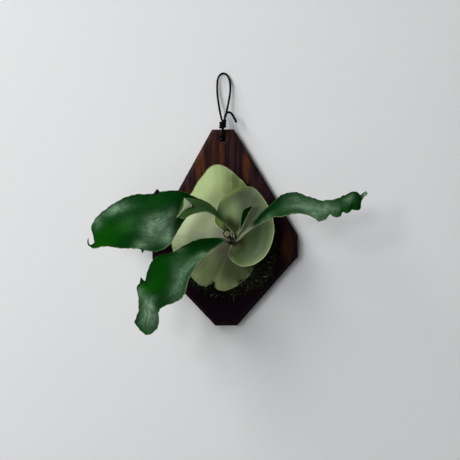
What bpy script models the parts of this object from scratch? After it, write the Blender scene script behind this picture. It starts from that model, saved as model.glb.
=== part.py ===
"""A staghorn fern mounted on a stained wooden board, which hangs on a loop of cord.

Metres, +Z up. The board's back lies in the plane y = 0, against the wall, and its front faces -Y.
The origin is the point of the wall where the nail stands that the loop hangs on.
"""

import math

import bmesh
import bpy
import numpy as np

MM = 0.001
GAP = 0.0003  # between pieces that touch

# Board: an elongated octagon with four short flats and four long slanted edges
BOARD_WIDTH = 0.179
BOARD_HEIGHT = 0.2412
BOARD_THICKNESS = 0.016
BOARD_FLAT = 0.0267
BOARD_CHAMFER = 0.004
BOARD_DROP = 0.0688  # nail to top edge
WAIST_DROP = 0.1447  # top edge to the middle of the side flats
HANG_TILT = math.radians(-1.0)  # the heavier left side swings the foot to the right

# Hole for the cord, with an eased front rim and a recess for the knot behind it
HOLE_DROP = 0.012  # top edge to the hole's centre
HOLE_RADIUS = 0.0034
HOLE_RIM = 0.0017
RECESS_RADIUS = 0.0075
RECESS_DEPTH = 0.007
HOLE_SIDES = 24
CUTTER_OVERRUN = 0.002  # how far a cutter runs past the board's faces

# Cord
CORD_DIAMETER = 0.0026
CORD_STEP = 0.0027
ROUTE_STEPS = 8  # points read from each stretch of the cord's route
TAIL_STEPS = 2
KNOT_HALF_WIDTH = 0.0031  # centreline of the wraps, across the two strands
KNOT_HALF_DEPTH = 0.00455
KNOT_FULLNESS = 0.75  # 1 is an ellipse, and less is squarer
KNOT_TURNS = 2.6
KNOT_STEPS = 40  # along all the wraps
KNOT_PITCH = 0.0029
KNOT_SLANT = 0.0012  # how far the wraps dip in front and rise behind
KNOT_TOP = (0.0012, -0.01915, -0.0606)  # centre of the last wrap
KNOT_LAST_ANGLE = math.radians(15)  # where the wraps end, at their right side
STOPPER_RADIUS = 0.0054
STOPPER_THICKNESS = 0.005
STOPPER_ROUND = 0.0015
STOPPER_SIDES = 16

# Root ball of moss, on the board's front
MOUND_CENTRE = (0.008, -0.204)
MOUND_HALF_WIDTH = 0.063
MOUND_HALF_HEIGHT = 0.074
MOUND_DEPTH = 0.024
MOUND_SIDES = 28
MOUND_SWELL = 0.03  # four soft corners, as a share of the half sizes
MOUND_SWELL_TURN = math.radians(-20)
MOUND_DENT = 0.13  # flatter at the upper right
MOUND_DENT_ANGLE = math.radians(58)
MOUND_DENT_WIDTH = math.radians(28)
# share of the half width, share of the depth
MOUND_PROFILE = [(1.0, 0.0), (1.0, 0.18), (0.95, 0.35), (0.85, 0.5), (0.65, 0.7), (0.4, 0.88), (0.18, 0.98)]

# The crown: the frame that the fronds are drawn in. Its points are (right, forward, up) in millimetres.
CROWN = (0.011, -0.058, -0.2005)
RHIZOME_CENTRE = (2.0, -2.5)  # right, up
RHIZOME_RADIUS = 7.0
RHIZOME_PROFILE = [(0.6, 0.0), (0.88, -0.5), (1.0, -2.2)]  # share of the radius, forward
RHIZOME_SIDES = 20
BUD_CENTRE = (-4.4, -0.6, 3.6)
BUD_RADIUS = 3.0
BUD_SIDES = 12
BUD_RINGS = 8

BLADE_THICKNESS = 0.0014
SHIELD_THICKNESS = 0.0014
SHIELD_INNER_RADIUS = 7.5
SHIELD_SHARES = (0.35, 0.7)  # where a radius has its two inner points, as shares of its length
LEAF_STEPS = 2  # steps from each drawn point to the next, along and across

# The cord's two ends: up the left strand from the recess, over the nail, and down the right strand, which
# lies behind the left one in the knot. Millimetres in the world's axes: x, depth in front of the wall, z.
CORD_ROUTE = [
    (0.6, 7.0, -82.1), (0.6, 9.8, -82.1), (0.6, 13.3, -82.1), (0.6, 16.8, -81.2), (0.6, 19.4, -78.6),
    (0.6, 20.4, -75.1), (0.6, 20.4, -72.2), (1.05, 20.5, -69.4), (1.2, 20.6, -66.6), (1.2, 20.6, -64.0),
    (1.1, 20.5, -61.6), (0.3, 20.0, -59.0), (-0.7, 18.0, -55.0), (-1.8, 15.2, -50.0), (-3.5, 11.0, -40.0),
    (-5.1, 7.6, -29.0), (-5.9, 5.4, -18.0), (-5.8, 4.6, -10.5), (-5.0, 4.3, -4.8), (-2.8, 4.2, -0.4),
    (1.1, 4.1, 2.0), (5.2, 4.2, 1.0), (8.1, 4.4, -2.8), (9.8, 4.7, -8.4), (10.3, 5.3, -15.0),
    (9.8, 6.3, -24.5), (8.2, 8.4, -34.5), (6.1, 11.6, -45.5), (4.2, 14.8, -54.0), (3.0, 16.6, -58.0),
    (1.8, 17.5, -60.5), (1.2, 17.7, -62.6), (1.2, 17.7, -64.8), (1.2, 17.7, -67.0), (1.6, 17.65, -69.2),
    (2.4, 18.0, -72.2), (2.4, 18.0, -74.3), (2.4, 17.3, -77.0), (2.4, 15.3, -79.0), (2.4, 12.6, -79.7),
    (2.4, 9.8, -79.7), (2.4, 7.0, -79.7),
]
# The knot's free end, from the last wrap up in front of the right strand to where it is cut off.
TAIL_ROUTE = [
    (4.4, 21.6, -60.3), (3.8, 21.8, -58.2), (3.8, 21.2, -55.3), (4.6, 20.3, -52.3), (6.2, 19.6, -49.9),
    (8.4, 19.1, -49.1), (10.8, 19.0, -49.9), (13.0, 19.0, -52.2), (15.0, 18.7, -55.4), (16.6, 18.4, -58.6),
    (17.8, 18.2, -61.2),
]

# Each antler frond runs from the crown to its tip. A row holds its two edges and how far its middle
# stands forward of the line between them: (edge, edge, arch).
LEFT_FROND = [
    ((0.3, 0.8, 1.8), (1.8, 0.8, -0.6), 0), ((-1, 5, 9.5), (0.4, 5, 6.5), 0),
    ((-6.4, 9, 18.5), (-5.4, 8.5, 13.5), -1), ((-14, 16, 28), (-13, 15, 20), -1.5),
    ((-25, 24, 38), (-27, 23, 29), -1.5), ((-41, 31, 45), (-42, 32, 27), -1),
    ((-52, 36, 50), (-51, 38, 18), 1), ((-66, 39, 51), (-59, 43, 4), 4), ((-82, 39, 48), (-67, 46, -9), 6),
    ((-94, 37, 47), (-80, 46, -15), 7), ((-105, 34, 47), (-92, 43, -14), 7),
    ((-121, 29, 42), (-105, 39, -12), 6), ((-138, 25, 32), (-121, 36, -12), 4),
    ((-151, 22, 21), (-136, 33, -10), 2), ((-156, 21, 11), (-145, 32, -11), 0),
    ((-154, 22, 4), (-149, 32, -12), 0), ((-151, 25, -4), (-152, 31, -12), 0),
    ((-154, 29, -7), (-156, 31, -9), 0), ((-155, 33, -4), (-157, 34, -4), 0),
]
YOUNG_LEFT_FROND = [
    ((3.3, 0.8, 0.9), (4.5, 0.8, -1.5), 0), ((2.1, 7.7, 7.1), (3.3, 7.7, 3.7), 0),
    ((-3.2, 13.6, 14), (-1.4, 12.6, 9.6), -0.8), ((-11, 20, 25), (-11, 19, 19), -1.2),
    ((-19, 28, 32), (-18, 26, 24), -1.5), ((-26, 33, 37), (-26, 32, 28), -1.5),
    ((-33, 37, 40), (-35, 38, 27), -1), ((-40, 40, 42), (-44, 42, 24), 0.5),
    ((-46, 42, 43), (-51, 45, 20), 1), ((-51, 43, 43), (-58, 47, 22), 1),
]
LOWER_FROND = [
    ((-2.8, 0.6, -2.2), (-0.6, 0.6, -5), 0), ((-7, 5, -1.5), (-3, 5, -5), 0),
    ((-12, 11, -1), (-6, 10, -5), -1), ((-23, 18, -1), (-13, 18, -9), -2),
    ((-38, 26, -3), (-21, 27, -14), -3), ((-53, 33, -10), (-26, 36, -18), -4),
    ((-63, 38, -16), (-31, 42, -23), -4), ((-76, 42, -19), (-39, 48, -35), -4),
    ((-83, 45, -23), (-45, 52, -45), -3), ((-87, 48, -30), (-48, 54, -57), -1),
    ((-90, 50, -39), (-53, 55, -65), 1), ((-92, 52, -47), (-60, 55, -69), 2),
    ((-97.5, 53, -42.5), (-67, 55, -71.5), 2), ((-100, 54, -52), (-73, 54, -74), 2),
    ((-98, 54, -66), (-77, 53, -80), 2), ((-99, 52, -80), (-77, 51, -87), 1.5),
    ((-103, 49, -91), (-78, 48, -94), 1), ((-98, 47, -99), (-81, 46, -100), 0.5),
    ((-92, 46, -105), (-87, 46, -104.5), 0),
]
RIGHT_FROND = [
    ((5.6, 1, -3.8), (7.1, 0.8, -5.8), 0), ((9.4, 4.6, -0.2), (11, 4.6, -2.6), 0),
    ((13, 9, 5), (15, 9, 2), -0.5), ((24, 15, 15), (27, 15, 11), -1), ((34, 21, 27), (38, 22, 17), -2),
    ((45, 26, 37), (48, 29, 22), -3), ((55, 30, 46), (59, 34, 23), -3.5), ((64, 33, 49), (70, 38, 26), -3),
    ((73, 36, 49), (80, 41, 25), -2), ((82, 39, 45), (88, 44, 22), -1), ((89, 41, 43), (95, 47, 18), 1),
    ((97, 43, 40), (102, 48, 21), 2), ((105, 45, 40), (108, 48, 25), 2), ((114, 46, 42), (115, 49, 22), 2),
    ((123, 46, 45), (122, 50, 27), 2), ((131, 45, 49), (131, 49, 28), 1.5),
    ((137, 44, 47), (139, 47, 32), 1), ((140, 43, 46), (142, 45, 40), 0.4),
    ((142, 43, 47.5), (143.5, 43, 44), 0), ((146.5, 43, 49), (147.5, 43, 47), 0),
]
# Folded lengthwise: the left edge, the fold and the near edge.
YOUNG_UPRIGHT_FROND = [
    ((6, 0.7, 1.4), (7.8, 0.6, 0.2), (7.4, 0.8, -1.4)), ((6.8, 5, 5), (9.4, 3.6, 3.6), (8.2, 5.6, 3)),
    ((10, 10, 9), (13, 7, 7), (11, 11, 6)), ((12, 15, 16), (17.5, 10, 14), (15, 17, 12.5)),
    ((13, 20, 25), (23, 13, 22), (19, 22, 20)), ((16, 23, 31), (29, 16, 29), (24, 27, 29)),
    ((20, 26, 34), (32, 19, 34), (28, 30, 34)),
]

# A shield frond is drawn round the crown. A row is one radius: how far forward it stands at each of its
# two inner points, and the point of its edge.
OLD_SHIELD = [
    (-14, -17, (33, -21, 24)), (-14, -16, (30, -21, 40)), (-13, -13, (22, -22, 55)),
    (-13, -11, (14, -22, 66)), (-12, -9, (4, -21, 75)), (-11, -8, (-6, -20, 83)), (-10, -8, (-18, -20, 86)),
    (-10, -8, (-26, -20, 82)), (-10, -8, (-35, -22, 71)), (-10, -8, (-46, -25, 55)),
    (-9, -8, (-57, -27, 37)), (-9, -8, (-65, -28, 20)), (-8, -8, (-70, -29, 2)), (-8, -9, (-71, -29, -11)),
    (-9, -10, (-66, -29, -27)), (-9, -12, (-57, -29, -40)), (-10, -14, (-48, -28, -49)),
    (-10, -13, (-40, -28, -56)), (-10, -15, (-30, -28, -60)), (-11, -15, (-22, -26.5, -57)),
    (-11, -14, (-17, -27, -63)), (-11, -15, (-8, -26, -65)), (-12, -16, (1, -25, -62)),
    (-13, -17, (11, -24, -56)), (-14, -17, (21, -22, -47)), (-14, -17, (29, -21, -35)),
    (-14, -17, (34, -21, -22)),
]
NEW_SHIELD = [
    (-4, 0, (-15, 3, 13)), (-5, -1, (-18, 4, 18)), (-6, -1, (-17, 5, 27)), (-7, -2, (-14, 6, 38)),
    (-7, -3, (-8, 5, 45)), (-8, -4, (-1, 4, 51)), (-8, -5, (9, 3, 56)), (-9, -6, (18, 2, 58)),
    (-9, -7, (26, 1, 57)), (-10, -9, (33, 0, 51)), (-10, -10, (39, -1, 43)), (-10, -11, (45, -2, 32)),
    (-10, -11, (49, -2, 20)), (-10, -11, (50, -2, 8)), (-10, -11, (48, -1, -6)), (-9, -10, (42, 0, -19)),
    (-8, -9, (33, 0, -28)), (-7, -7, (22, 1, -33)), (-6, -5, (13, 1, -34)), (-5, -3, (6, 1, -31)),
    (-4.5, -2, (0, 0, -26)), (-4, -2, (-3, 0, -19)),
]

MATERIALS = {  # colour, roughness
    "stained_wood": ((0.045, 0.016, 0.013), 0.42),
    "black_cord": ((0.012, 0.012, 0.014), 0.6),
    "moss": ((0.022, 0.024, 0.012), 0.95),
    "rhizome": ((0.30, 0.22, 0.12), 0.8),
    "old_shield": ((0.36, 0.47, 0.23), 0.5),
    "new_shield": ((0.13, 0.20, 0.10), 0.5),
    "antler_green": ((0.012, 0.075, 0.015), 0.35),
    "young_green": ((0.05, 0.14, 0.05), 0.55),
}


def clear_scene():
    for obj in list(bpy.data.objects):
        bpy.data.objects.remove(obj, do_unlink=True)


def new_collection(name):
    collection = bpy.data.collections.new(name)
    bpy.context.scene.collection.children.link(collection)
    return collection


def material(name):
    found = bpy.data.materials.get(name)
    if found:
        return found
    colour, roughness = MATERIALS[name]
    made = bpy.data.materials.new(name)
    made.use_nodes = True
    shader = made.node_tree.nodes["Principled BSDF"]
    shader.inputs["Base Color"].default_value = (*colour, 1.0)
    shader.inputs["Roughness"].default_value = roughness
    shader.inputs["Metallic"].default_value = 0.0
    return made


def add_piece(name, mesh, material_name, collection):
    obj = bpy.data.objects.new(name, mesh)
    mesh.materials.clear()
    mesh.materials.append(material(material_name))
    collection.objects.link(obj)
    return obj


def mesh_from(bm, name):
    bmesh.ops.recalc_face_normals(bm, faces=bm.faces)
    mesh = bpy.data.meshes.new(name)
    bm.to_mesh(mesh)
    bm.free()
    return mesh


def smooth_through(points, steps):
    """A smooth line through points of any shape, with so many steps from each to the next."""
    points = np.array(points, float)
    flat = points.reshape(len(points), -1)
    spans = np.sqrt(np.linalg.norm(np.diff(flat, axis=0), axis=1))[:, None]
    slopes = np.diff(flat, axis=0) / spans
    inner = (slopes[:-1] * spans[1:] + slopes[1:] * spans[:-1]) / (spans[1:] + spans[:-1])
    tangents = np.concatenate([slopes[:1], inner, slopes[-1:]])
    line = []
    for i in range(len(flat) - 1):
        for t in np.arange(steps) / steps:
            line.append(
                (2 * t**3 - 3 * t**2 + 1) * flat[i]
                + (t**3 - 2 * t**2 + t) * spans[i] * tangents[i]
                + (3 * t**2 - 2 * t**3) * flat[i + 1]
                + (t**3 - t**2) * spans[i] * tangents[i + 1]
            )
    line.append(flat[-1])
    return np.array(line).reshape(-1, *points.shape[1:])


def evenly_spaced(line, step):
    along = np.concatenate([[0], np.cumsum(np.linalg.norm(np.diff(line, axis=0), axis=1))])
    at = np.linspace(0, along[-1], round(along[-1] / step) + 1)
    return np.stack([np.interp(at, along, line[:, k]) for k in range(3)], axis=1)


def from_wall(points):
    """Millimetres (x, depth, z) to metres in the world."""
    points = np.array(points, float) * MM
    points[..., 1] *= -1
    return points


def from_crown(points):
    """Millimetres (right, forward, up) about the crown to metres in the world."""
    return from_wall(points) + np.array(CROWN)


# Board


def board_outline():
    half_width, half_flat = BOARD_WIDTH / 2, BOARD_FLAT / 2
    top = -BOARD_DROP
    bottom = top - BOARD_HEIGHT
    waist = top - WAIST_DROP
    right = [
        (half_flat, top),
        (half_width, waist + half_flat),
        (half_width, waist - half_flat),
        (half_flat, bottom),
    ]
    return right + [(-x, z) for x, z in reversed(right)]


def board_mesh():
    bm = bmesh.new()
    corners = [bm.verts.new((x, 0.0, z)) for x, z in board_outline()]
    back = bm.faces.new(corners)
    extruded = bmesh.ops.extrude_face_region(bm, geom=[back], use_keep_orig=True)["geom"]
    front_verts = [item for item in extruded if isinstance(item, bmesh.types.BMVert)]
    bmesh.ops.translate(bm, verts=front_verts, vec=(0.0, -BOARD_THICKNESS, 0.0))
    front_edges = [edge for edge in bm.edges if all(vert in front_verts for vert in edge.verts)]
    bmesh.ops.bevel(bm, geom=front_edges, offset=BOARD_CHAMFER, segments=1, affect="EDGES")
    return mesh_from(bm, "board")


def turned_cutter(name, radius_back, radius_front, y_back, y_front, collection):
    """A cone or cylinder along Y through the hole's centre."""
    bm = bmesh.new()
    length = y_back - y_front
    bmesh.ops.create_cone(
        bm, cap_ends=True, segments=HOLE_SIDES, radius1=radius_back, radius2=radius_front, depth=length
    )
    cutter = bpy.data.objects.new(name, mesh_from(bm, name))
    cutter.location = (0.0, (y_back + y_front) / 2, -BOARD_DROP - HOLE_DROP)
    cutter.rotation_euler = (math.pi / 2, 0.0, 0.0)
    cutter.hide_render = True
    cutter.display_type = "WIRE"
    collection.objects.link(cutter)
    return cutter


def make_board(hang, parts, cutters):
    board = add_piece("board", board_mesh(), "stained_wood", parts)
    board.parent = hang
    behind, ahead = CUTTER_OVERRUN, -BOARD_THICKNESS - CUTTER_OVERRUN
    rim_back, rim_front = HOLE_RIM - BOARD_THICKNESS, HOLE_RADIUS + HOLE_RIM + CUTTER_OVERRUN
    holes = [
        turned_cutter("hole_cutter", HOLE_RADIUS, HOLE_RADIUS, behind, ahead, cutters),
        turned_cutter("rim_cutter", HOLE_RADIUS, rim_front, rim_back, ahead, cutters),
        turned_cutter("recess_cutter", RECESS_RADIUS, RECESS_RADIUS, behind, -RECESS_DEPTH, cutters),
    ]
    for cutter in holes:
        cutter.parent = hang
        cut = board.modifiers.new(cutter.name, "BOOLEAN")
        cut.operation = "DIFFERENCE"
        cut.solver = "EXACT"
        cut.object = cutter


# Cord


def make_tube(name, line, collection):
    curve = bpy.data.curves.new(name, "CURVE")
    curve.dimensions = "3D"
    curve.bevel_depth = CORD_DIAMETER / 2
    curve.bevel_resolution = 2
    curve.use_fill_caps = True
    spline = curve.splines.new("POLY")
    spline.points.add(len(line) - 1)
    for point, place in zip(spline.points, line):
        point.co = (*place, 1.0)
    curve.materials.append(material("black_cord"))
    tube = bpy.data.objects.new(name, curve)
    collection.objects.link(tube)


def knot_line():
    """The wraps, rising round both strands from behind them, and then the free end."""
    centre_x, centre_y, top = KNOT_TOP
    wraps = []
    for turns_left in np.linspace(KNOT_TURNS, 0, KNOT_STEPS + 1):
        angle = KNOT_LAST_ANGLE + 2 * math.pi * turns_left
        across, out = math.cos(angle), math.sin(angle)
        x = centre_x + KNOT_HALF_WIDTH * math.copysign(abs(across) ** KNOT_FULLNESS, across)
        y = centre_y - KNOT_HALF_DEPTH * math.copysign(abs(out) ** KNOT_FULLNESS, out)
        wraps.append((x, y, top - KNOT_PITCH * turns_left - KNOT_SLANT * out))
    tail = smooth_through(from_wall(TAIL_ROUTE), TAIL_STEPS)
    return np.concatenate([wraps, tail])


def make_stopper(collection):
    bm = bmesh.new()
    bmesh.ops.create_cone(
        bm,
        cap_ends=True,
        segments=STOPPER_SIDES,
        radius1=STOPPER_RADIUS,
        radius2=STOPPER_RADIUS,
        depth=STOPPER_THICKNESS,
    )
    stopper = add_piece("stopper_knot", mesh_from(bm, "stopper_knot"), "black_cord", collection)
    drop = BOARD_DROP + HOLE_DROP
    depth = RECESS_DEPTH - GAP - STOPPER_THICKNESS / 2
    stopper.location = (-drop * math.sin(HANG_TILT), -depth, -drop * math.cos(HANG_TILT))
    stopper.rotation_euler = (math.pi / 2, 0.0, 0.0)
    rounded = stopper.modifiers.new("rounded", "BEVEL")
    rounded.width = STOPPER_ROUND
    rounded.segments = 2
    rounded.limit_method = "ANGLE"


# Moss


def mound_radius(angle):
    """The mound's outline as a share of its half sizes: uneven, and flatter at the upper right."""
    swell = MOUND_SWELL * math.cos(4 * angle + MOUND_SWELL_TURN)
    from_dent = math.remainder(angle - MOUND_DENT_ANGLE, 2 * math.pi)
    dent = MOUND_DENT * math.exp(-((from_dent / MOUND_DENT_WIDTH) ** 2))
    return 1.01 - swell - dent


def make_mound(collection):
    centre_x, centre_z = MOUND_CENTRE
    face = -BOARD_THICKNESS - GAP
    bm = bmesh.new()
    rings = []
    for share, rise in MOUND_PROFILE:
        ring = []
        for i in range(MOUND_SIDES):
            angle = 2 * math.pi * i / MOUND_SIDES
            reach = share * mound_radius(angle)
            x = centre_x + MOUND_HALF_WIDTH * reach * math.cos(angle)
            z = centre_z + MOUND_HALF_HEIGHT * reach * math.sin(angle)
            ring.append(bm.verts.new((x, face - MOUND_DEPTH * rise, z)))
        rings.append(ring)
    bm.faces.new(rings[0])
    for lower, upper in zip(rings, rings[1:]):
        for i in range(MOUND_SIDES):
            j = (i + 1) % MOUND_SIDES
            bm.faces.new((lower[i], lower[j], upper[j], upper[i]))
    peak = bm.verts.new((centre_x, face - MOUND_DEPTH, centre_z))
    for i in range(MOUND_SIDES):
        bm.faces.new((rings[-1][i], rings[-1][(i + 1) % MOUND_SIDES], peak))
    add_piece("moss_mound", mesh_from(bm, "moss_mound"), "moss", collection)


# Plant


def make_rhizome(collection, cutters):
    """The short stem, a turned shape along Y, joined with its bud."""
    foot = (-BOARD_THICKNESS - 2 * GAP - MOUND_DEPTH - CROWN[1]) / -MM
    profile = [(0.0, 0.0)] + list(RHIZOME_PROFILE) + [(1.0, foot), (0.0, foot)]
    bm = bmesh.new()
    corners = [bm.verts.new((share * RHIZOME_RADIUS * MM, 0.0, forward * MM)) for share, forward in profile]
    for first, second in zip(corners, corners[1:]):
        bm.edges.new((first, second))
    mesh = bpy.data.meshes.new("rhizome")
    bm.to_mesh(mesh)
    bm.free()
    right, up = RHIZOME_CENTRE
    rhizome = add_piece("rhizome", mesh, "rhizome", collection)
    rhizome.location = from_crown((right, 0.0, up))
    rhizome.rotation_euler = (math.pi / 2, 0.0, 0.0)
    turned = rhizome.modifiers.new("turned", "SCREW")
    turned.steps = RHIZOME_SIDES
    turned.render_steps = RHIZOME_SIDES
    turned.use_merge_vertices = True
    turned.merge_threshold = 0.00001

    bm = bmesh.new()
    bmesh.ops.create_uvsphere(bm, u_segments=BUD_SIDES, v_segments=BUD_RINGS, radius=BUD_RADIUS * MM)
    bud = bpy.data.objects.new("bud_joined_on", mesh_from(bm, "bud_joined_on"))
    bud.location = from_crown(BUD_CENTRE)
    bud.hide_render = True
    bud.display_type = "WIRE"
    cutters.objects.link(bud)
    joined = rhizome.modifiers.new("bud", "BOOLEAN")
    joined.operation = "UNION"
    joined.solver = "EXACT"
    joined.object = bud


def make_leaf(name, rows, thickness, material_name, collection):
    """A leaf from rows of points across it, smoothed both ways and given its thickness."""
    surface = smooth_through(from_crown(rows), LEAF_STEPS)
    surface = np.stack([smooth_through(row, LEAF_STEPS) for row in surface])
    bm = bmesh.new()
    grid = [[bm.verts.new(place) for place in row] for row in surface]
    for row, following in zip(grid, grid[1:]):
        for i in range(len(row) - 1):
            bm.faces.new((row[i], row[i + 1], following[i + 1], following[i]))
    mesh = bpy.data.meshes.new(name)
    bm.to_mesh(mesh)
    bm.free()
    leaf = add_piece(name, mesh, material_name, collection)
    solid = leaf.modifiers.new("thickness", "SOLIDIFY")
    solid.thickness = thickness
    solid.offset = 0.0


def antler_rows(table):
    """Each row with its middle point between the two edges."""
    rows = []
    for edge, other, arch in table:
        middle = [(a + b) / 2 for a, b in zip(edge, other)]
        middle[1] += arch
        rows.append((edge, middle, other))
    return rows


def shield_rows(table):
    """Each radius from the rhizome's side out to the edge."""
    centre = np.array(RHIZOME_CENTRE)
    rows = []
    for near, far, (right, forward, up) in table:
        out = np.array((right, up)) - centre
        start = SHIELD_INNER_RADIUS / np.linalg.norm(out)
        row = []
        for share, height in zip((0.0, *SHIELD_SHARES, 1.0), (near, near, far, forward)):
            place = centre + (start + (1 - start) * share) * out
            row.append((place[0], height, place[1]))
        rows.append(row)
    return rows


def main():
    clear_scene()
    parts = new_collection("mounted_staghorn_fern")
    cutters = new_collection("cutters")
    hang = bpy.data.objects.new("hang", None)
    hang.rotation_euler = (0.0, HANG_TILT, 0.0)
    parts.objects.link(hang)

    make_board(hang, parts, cutters)
    make_tube("hanging_cord", evenly_spaced(smooth_through(from_wall(CORD_ROUTE), 8), CORD_STEP), parts)
    make_tube("cord_knot", knot_line(), parts)
    make_stopper(parts)
    make_mound(parts)
    make_rhizome(parts, cutters)

    for name, table, material_name in (
        ("left_frond", antler_rows(LEFT_FROND), "antler_green"),
        ("young_left_frond", antler_rows(YOUNG_LEFT_FROND), "young_green"),
        ("lower_frond", antler_rows(LOWER_FROND), "antler_green"),
        ("right_frond", antler_rows(RIGHT_FROND), "antler_green"),
        ("young_upright_frond", YOUNG_UPRIGHT_FROND, "young_green"),
    ):
        make_leaf(name, table, BLADE_THICKNESS, material_name, parts)
    for name, table in (("old_shield", OLD_SHIELD), ("new_shield", NEW_SHIELD)):
        make_leaf(name + "_frond", shield_rows(table), SHIELD_THICKNESS, name, parts)


main()
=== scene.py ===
"""The looks of a staghorn fern mounted on a stained board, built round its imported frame.

Metres, +Z up. The origin is the nail's point on the wall that the cord's loop hangs on. The board's
back lies in the plane y = 0 and its front faces -Y.
"""

import math

import bpy
import numpy as np
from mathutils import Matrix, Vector
from mathutils.geometry import convex_hull_2d


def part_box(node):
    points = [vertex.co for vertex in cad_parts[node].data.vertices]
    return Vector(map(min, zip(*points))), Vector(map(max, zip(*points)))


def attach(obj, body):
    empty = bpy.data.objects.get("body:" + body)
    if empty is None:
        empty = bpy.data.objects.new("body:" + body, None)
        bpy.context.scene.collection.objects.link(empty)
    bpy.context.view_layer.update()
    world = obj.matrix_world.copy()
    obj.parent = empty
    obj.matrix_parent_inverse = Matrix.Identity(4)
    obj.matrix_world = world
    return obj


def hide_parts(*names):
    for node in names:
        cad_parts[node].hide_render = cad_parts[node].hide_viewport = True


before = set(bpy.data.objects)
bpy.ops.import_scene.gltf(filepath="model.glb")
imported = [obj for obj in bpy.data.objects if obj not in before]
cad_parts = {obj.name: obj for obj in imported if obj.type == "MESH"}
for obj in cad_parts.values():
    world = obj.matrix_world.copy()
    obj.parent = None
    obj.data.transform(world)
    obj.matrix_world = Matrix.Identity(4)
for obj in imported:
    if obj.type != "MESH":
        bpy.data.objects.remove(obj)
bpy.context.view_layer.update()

MM = 0.001
ROOT = "root"

# Camera, in front of the wall
CAMERA_DISTANCE = 0.75
CAMERA_AIM = (0.01, -0.1925)  # x, z
VIEW_WIDTH = 0.575  # of the wall, that the picture takes in
SENSOR_WIDTH = 36.0

# Lights: name, direction from the plant, distance, size and power
LIGHTS = [
    ("window_right", (-0.3, -1.0, 0.12), 1.9, 0.29, 4.1),
    ("window_left", (-0.6, -1.0, 0.12), 1.9, 0.26, 4.1),
    ("window_middle", (-0.6, -1.0, 0.37), 1.9, 0.4, 7.7),
    ("window_high", (-0.85, -1.0, 0.8), 3.0, 0.75, 17.5),
    ("skylight", (-1.7, -1.0, 1.9), 8.0, 3.2, 350.0),
    ("floor_bounce", (-0.3, -1.0, -0.4), 2.4, 1.2, 4.5),
]
# The room's faint glow from the front and from behind the wall, and how bright it looks to the camera
FRONT_GLOW = 0.09
BACK_GLOW = 0.75
BACKDROP = 0.6
ROOM_COLOUR = (0.97, 0.985, 1.0)
WALL_COLOURS = (0.775, 0.785, 0.795), (0.805, 0.81, 0.812)
WALL_OPENING = 0.96  # of the board's outline
WALL_REACH = 4.0
WALL_GAP = 0.0004  # in front of the board's back

# Cord
CORD_DIAMETER = 0.0026
BRAID_DEPTH = 0.00005
BRAID_STRANDS = 6
BRAID_PITCH = 0.0052  # along the cord, for a strand's full turn
TUBE_SIDES = 36
TUBE_STEP = 0.0003
TUBE_CAP = 0.0002  # how far an end bulges
LOOP_STEPS, TAIL_STEPS, STOPPER_STEPS = 16, 8, 160
KNOT_HALF_WIDTH = 0.0031
KNOT_HALF_DEPTH = 0.00455
KNOT_FULLNESS = 0.75
KNOT_TURNS = 2.6
KNOT_STEPS = 120
KNOT_PITCH = 0.0029
KNOT_SLANT = 0.0012
KNOT_TOP = (0.0012, -0.01915, -0.0606)
KNOT_LAST_ANGLE = math.radians(15)
KNOT_THICKER = 1.08  # the wraps, beside the rest of the cord

# The fronds are drawn about the crown, which lies this far inside the corners of the rhizome's box.
CROWN_FROM_RIGHT, CROWN_FROM_FRONT, CROWN_FROM_BELOW = 0.009, 0.0024, 0.0095
RHIZOME_CENTRE = (2.0, -2.5)  # right, up

# Cord routes in millimetres: x, depth in front of the wall, z
CORD_ROUTE = [
    (0.6, 7.0, -82.1), (0.6, 9.8, -82.1), (0.6, 13.3, -82.1), (0.6, 16.8, -81.2), (0.6, 19.4, -78.6),
    (0.6, 20.4, -75.1), (0.6, 20.4, -72.2), (1.05, 20.5, -69.4), (1.2, 20.6, -66.6), (1.2, 20.6, -64.0),
    (1.1, 20.5, -61.6), (0.3, 20.0, -59.0), (-0.7, 18.0, -55.0), (-1.8, 15.2, -50.0), (-3.5, 11.0, -40.0),
    (-5.1, 7.6, -29.0), (-5.9, 5.4, -18.0), (-5.8, 4.6, -10.5), (-5.0, 4.3, -4.8), (-2.8, 4.2, -0.4),
    (1.1, 4.1, 2.0), (5.2, 4.2, 1.0), (8.1, 4.4, -2.8), (9.8, 4.7, -8.4), (10.3, 5.3, -15.0),
    (9.8, 6.3, -24.5), (8.2, 8.4, -34.5), (6.1, 11.6, -45.5), (4.2, 14.8, -54.0), (3.0, 16.6, -58.0),
    (1.8, 17.5, -60.5), (1.2, 17.7, -62.6), (1.2, 17.7, -64.8), (1.2, 17.7, -67.0), (1.6, 17.65, -69.2),
    (2.4, 18.0, -72.2), (2.4, 18.0, -74.3), (2.4, 17.3, -77.0), (2.4, 15.3, -79.0), (2.4, 12.6, -79.7),
    (2.4, 9.8, -79.7), (2.4, 7.0, -79.7),
]
TAIL_ROUTE = [
    (4.4, 21.6, -60.3), (3.8, 21.8, -58.2), (3.8, 21.2, -55.3), (4.6, 20.3, -52.3), (6.2, 19.6, -49.9),
    (8.4, 19.1, -49.1), (10.8, 19.0, -49.9), (13.0, 19.0, -52.2), (15.0, 18.7, -55.4), (16.6, 18.4, -58.6),
    (17.8, 18.2, -61.2),
]

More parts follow.
